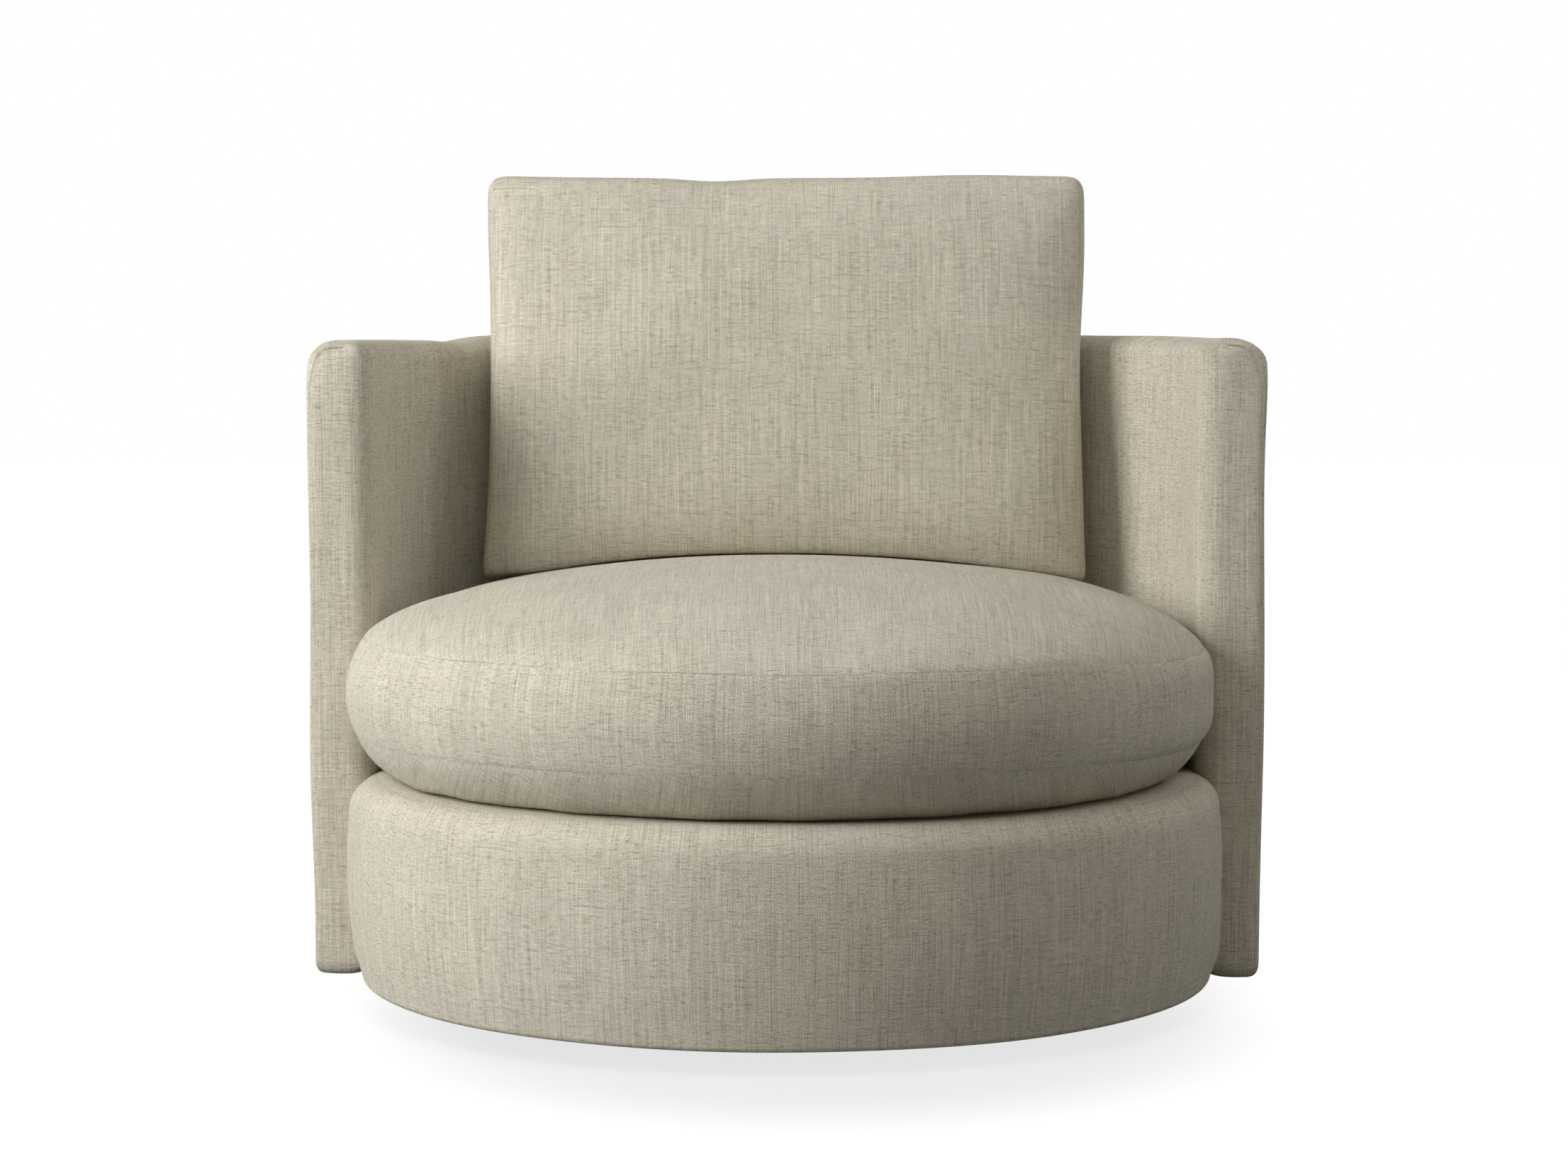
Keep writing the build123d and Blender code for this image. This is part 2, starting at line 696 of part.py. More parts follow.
def seat_form(shrink):
    """The round seat cushion, drawn in behind where the tub holds it."""
    base = deck_height + seam_gap + shrink
    crown = seat_crown_top - shrink
    seam_radius = seat_seam_radius - shrink
    boxing_middle = (seat_lower_seam_height + seat_upper_seam_height) / 2
    flat = seat_crown_flat - shrink
    with BuildPart() as form:
        with BuildSketch(Plane.XZ):
            with BuildLine():
                top = ThreePointArc(
                    (0, crown),
                    (flat / 2, crown - seat_crown_fall / 4),
                    (flat, crown - seat_crown_fall),
                )
                shoulder = TangentArc(top @ 1, (seam_radius, seat_upper_seam_height), tangent=top % 1)
                boxing = ThreePointArc(
                    shoulder @ 1, (seat_radius - shrink, boxing_middle), (seam_radius, seat_lower_seam_height)
                )
                belly = TangentArc((seam_radius - seat_belly_round, base), boxing @ 1, tangent=(1, 0))
                Polyline(belly @ 0, (0, base), (0, crown))
            make_face()
        revolve(axis=Axis.Z)
        with BuildSketch():
            Circle(tub_inner - 2 * seam_gap - shrink)
            with Locations((0, cover_front - 2 * seam_gap - shrink)):
                Rectangle(4 * shell_radius, 4 * shell_radius, align=(Align.CENTER, Align.MAX))
        extrude(amount=arm_height, mode=Mode.INTERSECT)
    return form.part


# Seat cushion: a crowned foam core in its boxed cover
seat_outside = seat_form(0)
seat_core = seat_form(cover_thickness)
finish(seat_core, "seat_cushion_core")
with BuildPart() as seat_cover:
    add(seat_outside)
    add(seat_core, mode=Mode.SUBTRACT)
finish(seat_cover.part, "seat_cushion_cover")

# The back cushion's own plane, held above the seat: X across, Y up its height, Z out of its face
back_plane = Plane(
    origin=(0, back_bottom_y, seat_crown_top), x_dir=(1, 0, 0), z_dir=(0, -cos(lean), sin(lean))
)


def pillow_outline(inset):
    """Outline of the back cushion, its sides drawn in between rounded corners."""
    half = back_width / 2 - inset
    foot = inset
    head = back_height - inset
    ease = max(0.0, 1 - 2 * inset / back_height)
    corner = back_corner * ease
    turn = corner * (1 - sqrt(0.5))
    with BuildSketch() as outline:
        with BuildLine():
            for side in (-1, 1):
                ThreePointArc(
                    (side * half, foot + corner),
                    (side * (half - back_side_draw * ease), (foot + head) / 2),
                    (side * half, head - corner),
                )
                ThreePointArc(
                    (side * half, head - corner),
                    (side * (half - turn), head - turn),
                    (side * (half - corner), head),
                )
                ThreePointArc(
                    (side * half, foot + corner),
                    (side * (half - turn), foot + turn),
                    (side * (half - corner), foot),
                )
            ThreePointArc((corner - half, head), (0, head - back_top_draw * ease), (half - corner, head))
            ThreePointArc((corner - half, foot), (0, foot + back_bottom_draw * ease), (half - corner, foot))
        make_face()
    return outline.sketch


def back_form(shrink):
    """The back cushion: a boxed edge with a crown on its face and on its back."""
    half_boxing = back_boxing / 2 - shrink
    with BuildPart() as form:
        with BuildSketch(back_plane.offset(-half_boxing)):
            add(pillow_outline(shrink))
        extrude(amount=2 * half_boxing)
        for side in (-1, 1):
            for step in range(back_crown_steps + 1):
                share = step / back_crown_steps
                rise = 1 - (1 - share) ** 2
                with BuildSketch(back_plane.offset(side * (half_boxing + back_crown * rise))):
                    add(pillow_outline(back_crown_inset * share + shrink))
            loft()
    return form.part


def settled(form, seat):
    """How far down a cushion goes before it rests on the seat, found by lowering it through the gap that is left."""
    drop = 0.0
    for _ in range(back_settle_steps):
        drop += (Pos(0, 0, -drop) * form).distance_to(seat) - back_rest_gap
    return drop


# Back cushion: a stuffed insert in its boxed cover, let down onto the seat
back_outside = back_form(0)
back_drop = settled(back_outside, seat_outside)
with BuildPart() as back_insert:
    with Locations((0, 0, -back_drop)):
        add(back_form(cover_thickness))
finish(back_insert.part, "back_cushion_insert")
with BuildPart() as back_cover:
    with Locations((0, 0, -back_drop)):
        add(back_outside)
    add(back_insert.part, mode=Mode.SUBTRACT)
finish(back_cover.part, "back_cushion_cover")

for piece in pieces:
    export_step(piece, f"parts/{piece.label}.step")
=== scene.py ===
"""Looks of a curved swivel chair: linen covers, two loose cushions, finishes, light and camera."""

import logging
import math
from collections.abc import Sequence
from dataclasses import dataclass
from enum import Enum

import bmesh
import bpy
import numpy as np
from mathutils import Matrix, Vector


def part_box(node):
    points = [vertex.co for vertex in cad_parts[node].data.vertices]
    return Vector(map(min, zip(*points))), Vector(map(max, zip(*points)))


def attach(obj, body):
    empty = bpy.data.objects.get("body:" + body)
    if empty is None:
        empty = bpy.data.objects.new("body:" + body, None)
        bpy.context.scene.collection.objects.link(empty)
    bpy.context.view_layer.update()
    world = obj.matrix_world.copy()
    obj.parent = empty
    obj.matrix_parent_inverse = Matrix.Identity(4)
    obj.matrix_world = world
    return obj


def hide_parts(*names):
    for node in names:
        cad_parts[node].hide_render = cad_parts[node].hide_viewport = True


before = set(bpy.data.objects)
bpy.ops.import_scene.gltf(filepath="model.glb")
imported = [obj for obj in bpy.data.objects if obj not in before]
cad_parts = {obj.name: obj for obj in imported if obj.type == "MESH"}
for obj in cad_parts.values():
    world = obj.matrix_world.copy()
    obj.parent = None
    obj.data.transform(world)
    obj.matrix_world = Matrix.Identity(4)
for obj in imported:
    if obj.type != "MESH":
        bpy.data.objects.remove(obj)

Grid = np.ndarray
Measure = Grid | float
Piece = bpy.types.Object
Material = bpy.types.Material
Socket = bpy.types.NodeSocket
Colour = tuple[float, float, float]
Place = tuple[float, float, float]
Span = tuple[float, float]
Marks = tuple[float, ...]

LOG = logging.getLogger("curved_swivel_chair")
WEAVE_MAP = "Weave"  # cloth coordinates in metres, weft first
SEAM_LAYER = "seam"  # metres from the nearest seam, less than 0 in a fold
FOLD_HALF = 0.0028  # half the width of a folded dart
WELD = 2e-5  # points nearer than this are one point
TINY = 1e-9  # stands in for a length of 0 in a division
FINE_ROWS = (0.0, 0.0011, 0.0028, 0.0055, 0.0095, 0.0145, 0.0205, 0.0270, 0.0340)
BOXING_ROWS = (0.0, 0.003, 0.008)
FINE_SHARE = 0.45  # most of a span that close rows take at each end
FULL_TURN = 2.0 * math.pi
NOISE_SPAN = (0.3, 0.7)  # values between which most of a cloud of noise lies
WIDE_NOISE_SPAN = (0.25, 0.75)
WHITE = (1.0, 1.0, 1.0)
MIX_COLOURS = (6, 7)  # numbers of a mixing node's two sockets for colours
MIX_RESULT = 2  # number of its socket for the mixed colour


class Body(Enum):
    """Bodies of the chair that covers and cushions move with."""

    CHAIR = "chair"
    SEAT = "seat_cushion"
    BACK = "back_cushion"


class Slot(Enum):
    """Finishes that the pieces are made in."""

    LINEN = "linen"
    FOAM = "foam"
    FELT = "felt"
    PLYWOOD = "plywood"
    HARDWOOD = "hardwood"
    FIBREBOARD = "fibreboard"
    ZINC_STEEL = "zinc_steel"
    BEARING_STEEL = "bearing_steel"
    NYLON = "nylon"
    STAINED_PLINTH = "stained_plinth"
    CAMBRIC = "cambric"
    WEBBING = "webbing"


# Small sums


def smooth(low: float, high: float, value: Grid) -> Grid:
    """Share that eases from 0 where the value is low to 1 where it is high."""
    share = np.clip((value - low) / (high - low), 0.0, 1.0)
    return share * share * (3.0 - 2.0 * share)


def between(first: Measure, last: Measure, share: Measure) -> Measure:
    """Value that lies that share of the way from first to last."""
    return first + (last - first) * share


def hump(centre: float, width: float, value: Grid) -> Grid:
    """A soft bump, 1 at its centre and nearly 0 past twice its width."""
    return np.exp(-(((value - centre) / width) ** 2))


def spaced(low: float, high: float, step: float, fine: Sequence[float] = FINE_ROWS) -> Grid:
    """Places of rows from low to high, close together near both ends.

    Args:
        low: First place.
        high: Last place.
        step: Largest distance between rows in the middle.
        fine: Distances from each end at which close rows lie.

    Returns:
        The places in rising order.
    """
    reach = min(fine[-1], (high - low) * FINE_SHARE)
    near = [distance for distance in fine if distance <= reach]
    middle = high - low - 2.0 * near[-1]
    count = max(1, math.ceil(middle / step))
    plain = np.linspace(low + near[-1], high - near[-1], count + 1)
    return np.concatenate([low + np.array(near[:-1]), plain, high - np.array(near[:-1])[::-1]])


def laid(first: Measure, second: Measure) -> Grid:
    """Places on the cloth from their two numbers, as one grid."""
    return np.stack(np.broadcast_arrays(first, second), axis=-1)


@dataclass(frozen=True)
class Swell:
    """A soft rise in a surface or, taken away, a dip."""

    height: float  # metres at its middle
    middle: float  # where its middle lies
    width: float  # how far it reaches either side

    def at(self, value: Grid) -> Grid:
        """Metres that the surface rises at a place."""
        return self.height * hump(self.middle, self.width, value)


def heaped(swells: Sequence[Swell], value: Grid) -> Grid:
    """Metres of all the swells together at a place."""
    return sum(swell.at(value) for swell in swells)


@dataclass(frozen=True)
class Ease:
    """A change that comes in softly and stays."""

    height: float  # metres once it is full
    start: float  # where it starts
    full: float  # where it is full

    def at(self, value: Grid) -> Grid:
        """Metres of change at a place."""
        return self.height * smooth(self.start, self.full, value)


@dataclass(frozen=True)
class Wave:
    """A slow rise and fall."""

    height: float  # largest rise, in metres
    length: float  # length of one wave
    start: float = 0.0  # angle at which it starts

    def at(self, value: Grid) -> Grid:
        """Metres of rise at a place."""
        return self.height * np.sin(FULL_TURN * value / self.length + self.start)


@dataclass(frozen=True)
class HandWork:
    """Slight unevenness that hand pulling leaves in a cover."""

    height: float  # largest rise, in metres
    waves: tuple[tuple[float, float, float], ...]  # length along, length up and start of each wave
    lag: float = 2.3  # start of a wave up the cover, as a share of its start along it

    def at(self, along: Grid, up: Grid) -> Grid:
        """Rise of the cloth at a place.

        Args:
            along: Metres along the cover.
            up: Metres up the cover.

        Returns:
            Metres out of the cover's plain form.
        """
        total = np.zeros(np.broadcast(along, up).shape)
        for length, rise, start in self.waves:
            turn = np.sin(FULL_TURN * along / length + start)
            total += turn * np.cos(FULL_TURN * up / rise + self.lag * start)
        return self.height * total / len(self.waves)


# Cloth meshes


@dataclass
class Patch:
    """A four-sided stretch of cloth."""

    points: Grid  # rows by columns of points, in metres
    weave: Grid  # place of each point on the cloth, in metres
    seam: Grid  # metres from each point to the nearest seam
    keep: Grid | None = None  # which faces are there, or None for all
    turned: bool = False  # true if the grid's own order faces inwards

    def faces(self, first: int) -> Grid:
        """Corner numbers of the kept faces.

        Args:
            first: Number of the patch's first point.

        Returns:
            One row of four numbers for each face.
        """
        rows, columns = self.seam.shape
        index = first + np.arange(rows * columns).reshape(rows, columns)
        quads = np.stack((index[:-1, :-1], index[:-1, 1:], index[1:, 1:], index[1:, :-1]), axis=-1)
        kept = quads.reshape(-1, 4) if self.keep is None else quads[self.keep]
        return kept[:, ::-1] if self.turned else kept


def sew(name: str, patches: Sequence[Patch], closed: bool = False) -> Piece:
    """Joins patches along their shared edges into one smooth mesh.

    Args:
        name: Name of the new piece.
        patches: Stretches of cloth whose edges share their points.
        closed: True for a cushion, whose faces are then turned outwards.

    Returns:
        The new piece.
    """
    starts = np.cumsum([0] + [patch.seam.size for patch in patches])
    points = np.concatenate([patch.points.reshape(-1, 3) for patch in patches])
    weave = np.concatenate([patch.weave.reshape(-1, 2) for patch in patches])
    seam = np.concatenate([patch.seam.ravel() for patch in patches])
    faces = np.concatenate([patch.faces(start) for patch, start in zip(patches, starts)])
    mesh = bpy.data.meshes.new(name)
    mesh.from_pydata(points.tolist(), [], faces.tolist())
    corners = np.zeros(len(mesh.loops), np.int32)
    mesh.loops.foreach_get("vertex_index", corners)
    mesh.uv_layers.new(name=WEAVE_MAP).data.foreach_set("uv", weave[corners].astype(np.float32).ravel())
    layer = mesh.attributes.new(SEAM_LAYER, "FLOAT", "POINT")
    layer.data.foreach_set("value", seam.astype(np.float32))
    tidy = bmesh.new()
    tidy.from_mesh(mesh)
    bmesh.ops.remove_doubles(tidy, verts=tidy.verts, dist=WELD)
    loose = [vertex for vertex in tidy.verts if not vertex.link_faces]
    bmesh.ops.delete(tidy, geom=loose, context="VERTS")
    if closed:
        bmesh.ops.recalc_face_normals(tidy, faces=tidy.faces)
    tidy.to_mesh(mesh)
    tidy.free()
    mesh.shade_smooth()
    piece = bpy.data.objects.new(name, mesh)
    bpy.context.scene.collection.objects.link(piece)
    return piece


def read_points(mesh: bpy.types.Mesh, kind: str = "co") -> Grid:
    """Every vertex's place, or its normal.

    Args:
        mesh: The mesh to read.
        kind: "co" for places or "normal" for normals.

    Returns:
        One row of three numbers for each vertex.
    """
    values = np.zeros(len(mesh.vertices) * 3, np.float32)
    mesh.vertices.foreach_get(kind, values)
    return values.reshape(-1, 3).astype(float)


def read_seam(mesh: bpy.types.Mesh) -> Grid:
    """Metres from every vertex to the nearest seam."""
    values = np.zeros(len(mesh.vertices), np.float32)
    mesh.attributes[SEAM_LAYER].data.foreach_get("value", values)
    return values.astype(float)


def write_points(mesh: bpy.types.Mesh, points: Grid) -> None:
    """Moves every vertex to its new place."""
    mesh.vertices.foreach_set("co", points.astype(np.float32).ravel())
    mesh.update()


def subdivided(piece: Piece) -> None:
    """Gives a piece one level of smooth subdivision, applied to its mesh.

    Args:
        piece: The piece, which gets a new mesh.
    """
    modifier = piece.modifiers.new("fuller", "SUBSURF")
    modifier.levels = 1
    modifier.render_levels = 1
    modifier.boundary_smooth = "PRESERVE_CORNERS"
    graph = bpy.context.evaluated_depsgraph_get()
    finer = bpy.data.meshes.new_from_object(piece.evaluated_get(graph), depsgraph=graph)
    finer.name = piece.name
    piece.modifiers.clear()
    piece.data = finer
    finer.shade_smooth()


@dataclass(frozen=True)
class Seam:
    """A plain seam without piping, sunk a little into the padding."""

    depth: float = 0.0006  # how far the stitching pulls the cloth in
    width: float = 0.0022  # half the width of the groove

    def sink(self, distance: Grid) -> Grid:
        """Metres that the cloth is pulled in at a distance from the seam."""
        return self.depth * hump(0.0, self.width, distance)

    def press(self, mesh: bpy.types.Mesh) -> None:
        """Pulls a finished cushion's cloth in along its seams."""
        sunk = read_points(mesh, "normal") * self.sink(read_seam(mesh))[:, None]
        write_points(mesh, read_points(mesh) - sunk)


PLAIN_SEAM = Seam()


@dataclass(frozen=True)
class Filling:
    """How a cushion is stuffed: air pressure swells its cloth while its seams stay gathered."""

    pressure: float = 4.0  # pressure inside the cloth
    frames: int = 20  # steps of the simulation
    reach: float = 0.0025  # furthest that a point may move
    gather: float = 0.001  # share by which the seams are shortened
    gather_width: float = 0.006  # how far from a seam the cloth is gathered
    least_weight: float = 0.01  # share below which a point isn't held or gathered
    stiffness: float = 40.0  # resistance of the cloth to stretching
    bending: float = 1.5  # resistance of the cloth to folding
    quality: int = 6  # finer steps within each step
    mass: float = 0.3  # mass of a point of the cloth
    drag: float = 3.0  # how much the air slows the cloth

    def stuff(self, piece: Piece, held_below: float = 0.0) -> None:
        """Swells a sewn cushion, smooths it and presses its seams in.

        Args:
            piece: The cushion.
            held_below: Height below which its cloth lies still.
        """
        lying = read_points(piece.data)[:, 2] < held_below
        self.swell(piece, lying.astype(float))
        subdivided(piece)
        PLAIN_SEAM.press(piece.data)

    def swell(self, piece: Piece, held: Grid) -> None:
        """Runs the cloth simulation and keeps its result, each move capped.

        Args:
            piece: The cushion, which starts a little smaller than it ends.
            held: Share, for each point, that stays where it lies.
        """
        mesh = piece.data
        start = read_points(mesh)
        gathered = hump(0.0, self.gather_width, read_seam(mesh))
        for label, weights in (("gathered", gathered), ("held", held)):
            group = piece.vertex_groups.new(name=label)
            for number in np.flatnonzero(weights > self.least_weight):
                group.add([int(number)], float(weights[number]), "REPLACE")
        self.set_cloth(piece)
        scene = bpy.context.scene
        for step in range(1, self.frames + 1):
            scene.frame_set(step)
        graph = bpy.context.evaluated_depsgraph_get()
        move = read_points(piece.evaluated_get(graph).data) - start
        piece.modifiers.clear()
        piece.vertex_groups.clear()
        scene.frame_set(1)
        length = np.linalg.norm(move, axis=1, keepdims=True)
        capped = self.reach * np.tanh(length / self.reach)
        write_points(mesh, start + move * capped / np.maximum(length, TINY))

    def set_cloth(self, piece: Piece) -> None:
        """Sets the cushion up for the simulation.

        Args:
            piece: The cushion, with its gathered and held points marked.
        """
        cloth = piece.modifiers.new("cloth", "CLOTH")
        settings = cloth.settings
        settings.quality = self.quality
        settings.mass = self.mass
        settings.air_damping = self.drag
        settings.tension_stiffness = self.stiffness
        settings.compression_stiffness = self.stiffness
        settings.shear_stiffness = self.stiffness
        settings.bending_stiffness = self.bending
        settings.use_pressure = True
        settings.uniform_pressure_force = self.pressure
        settings.effector_weights.gravity = 0.0
        settings.vertex_group_shrink = "gathered"
        settings.shrink_min = 0.0
        settings.shrink_max = self.gather
        settings.vertex_group_mass = "held"
        cloth.collision_settings.use_collision = False
        cloth.point_cache.frame_start = 1
        cloth.point_cache.frame_end = self.frames


# Finishes


class Nodes:
    """A node tree, grown one step at a time."""

    def __init__(self, tree: bpy.types.NodeTree) -> None:
        """Empties the tree of a material or of the world."""
        self.tree = tree
        self.tree.nodes.clear()

    def add(self, kind: str, **settings: object) -> bpy.types.Node:
        """Adds a node and sets its options.

        Args:
            kind: Type of the node.
            **settings: Its options.

        Returns:
            The node.
        """
        node = self.tree.nodes.new(kind)
        for label, value in settings.items():
            setattr(node, label, value)
        return node

    def feed(self, socket: Socket, value: object) -> None:
        """Gives a socket a link or a plain value.

        Args:
            socket: The socket.
            value: The link or the value.
        """
        if isinstance(value, bpy.types.NodeSocket):
            self.tree.links.new(value, socket)
        else:
            socket.default_value = value

    def fed(self, node: bpy.types.Node, *values: object) -> bpy.types.Node:
        """Gives a node's first sockets their links or values, in order."""
        for socket, value in zip(node.inputs, values):
            self.feed(socket, value)
        return node

    def sums(self, operation: str, *values: Socket | float) -> Socket:
        """Result of a sum on numbers or links, in their order."""
        return self.fed(self.add("ShaderNodeMath", operation=operation), *values).outputs[0]

    def vectors(self, operation: str, *values: Socket | Place) -> Socket:
        """Result of a sum on points or links, in their order."""
        return self.fed(self.add("ShaderNodeVectorMath", operation=operation), *values).outputs[0]

    def product(self, first: Socket, *others: Socket | float) -> Socket:
        """All the numbers multiplied together."""
        for other in others:
            first = self.sums("MULTIPLY", first, other)
        return first

    def split(self, place: Socket) -> Sequence[Socket]:
        """The three numbers of a point."""
        return self.fed(self.add("ShaderNodeSeparateXYZ"), place).outputs

    def place(self, across: Socket, up: Socket) -> Socket:
        """A point on the cloth made of two numbers."""
        return self.fed(self.add("ShaderNodeCombineXYZ"), across, up).outputs[0]

    def stretched(self, place: Socket, factors: Place) -> Socket:
        """A point with each of its numbers multiplied."""
        return self.vectors("MULTIPLY", place, factors)

    def noise(self, place: Socket, scale: float = 1.0, detail: float = 2.0, flat: bool = False) -> Socket:
        """A cloud of smooth noise.

        Args:
            place: Point at which it is read.
            scale: Clouds to the unit of length.
            detail: Levels of finer noise.
            flat: True to read only two of the point's numbers.

        Returns:
            The noise's number, whose node also has a colour.
        """
        node = self.add("ShaderNodeTexNoise", noise_dimensions="2D" if flat else "3D")
        self.feed(node.inputs["Vector"], place)
        node.inputs["Scale"].default_value = scale
        node.inputs["Detail"].default_value = detail
        return node.outputs[0]

    def ramp(self, share: Socket, marks: Sequence[float], colours: Sequence[Colour]) -> Socket:
        """Colour that changes with a number.

        Args:
            share: The number, from 0 to 1.
            marks: Where along the way each colour stands.
            colours: The colours.

        Returns:
            The colour's socket.
        """
        node = self.add("ShaderNodeValToRGB")
        elements = node.color_ramp.elements
        while len(elements) < len(marks):
            elements.new(0.5)
        for element, mark, colour in zip(elements, marks, colours):
            element.position = mark
            element.color = (*colour, 1.0)
        return self.fed(node, share).outputs[0]

    def ranged(self, value: Socket, source: Span, target: Span, ease: str = "LINEAR") -> Socket:
        """A number carried from one range to another, held at its ends."""
        node = self.add("ShaderNodeMapRange", interpolation_type=ease)
        return self.fed(node, value, *source, *target).outputs[0]

    def mixed(self, share: Socket, low: Socket | Colour, high: Socket | Colour) -> Socket:
        """Mix of two colours.

        Args:
            share: How much of the second colour is taken.
            low: First colour.
            high: Second colour.

        Returns:
            The mixed colour's socket.
        """
        node = self.fed(self.add("ShaderNodeMix", data_type="RGBA"), share)
        for number, value in zip(MIX_COLOURS, (low, high)):
            self.feed(node.inputs[number], (*value, 1.0) if isinstance(value, tuple) else value)
        return node.outputs[MIX_RESULT]

    def shaded(self, colour: Socket, strength: Socket) -> Socket:
        """A colour made lighter or darker by a number."""
        node = self.fed(self.add("ShaderNodeVectorMath", operation="SCALE"), colour)
        self.feed(node.inputs["Scale"], strength)
        return node.outputs[0]

    def here(self) -> Socket:
        """Point on the piece, in metres."""
        return self.add("ShaderNodeTexCoord").outputs["Object"]


class Recipe(Nodes):
    """A material with one plain shader."""

    def __init__(self, name: str) -> None:
        """Starts the material.

        Args:
            name: Name of the material.
        """
        self.material = bpy.data.materials.new(name)
        self.material.use_nodes = True
        super().__init__(self.material.node_tree)
        self.shader = self.add("ShaderNodeBsdfPrincipled")
        self.fed(self.add("ShaderNodeOutputMaterial"), self.shader.outputs[0])

    def raised(self, height: Socket, depth: float, strength: float) -> None:
        """Gives the surface a bump.

        Args:
            height: Height of the bump, from 0 to 1.
            depth: Metres that a height of 1 stands proud.
            strength: Share of the bump that shows.
        """
        node = self.add("ShaderNodeBump")
        node.inputs["Strength"].default_value = strength
        node.inputs["Distance"].default_value = depth
        self.feed(node.inputs["Height"], height)
        self.feed(self.shader.inputs["Normal"], node.outputs[0])

    def finish(self, colour: Socket, rough: Socket, **fixed: float) -> Material:
        """Closes the recipe.

        Args:
            colour: The surface's colour.
            rough: Its roughness.
            **fixed: Other settings of the shader, with underscores for spaces.

        Returns:
            The finished material.
        """
        self.feed(self.shader.inputs["Base Color"], colour)
        self.feed(self.shader.inputs["Roughness"], rough)
        for label, value in fixed.items():
            self.shader.inputs[label.replace("_", " ")].default_value = value
        return self.material


@dataclass(frozen=True)
class Streaks:
    """Light and dark places in a cloth."""

    count: Span  # how many there are to the metre, across and up the cloth
    tone: Span  # light on the darkest and the lightest
    detail: float = 2.0  # levels of finer change


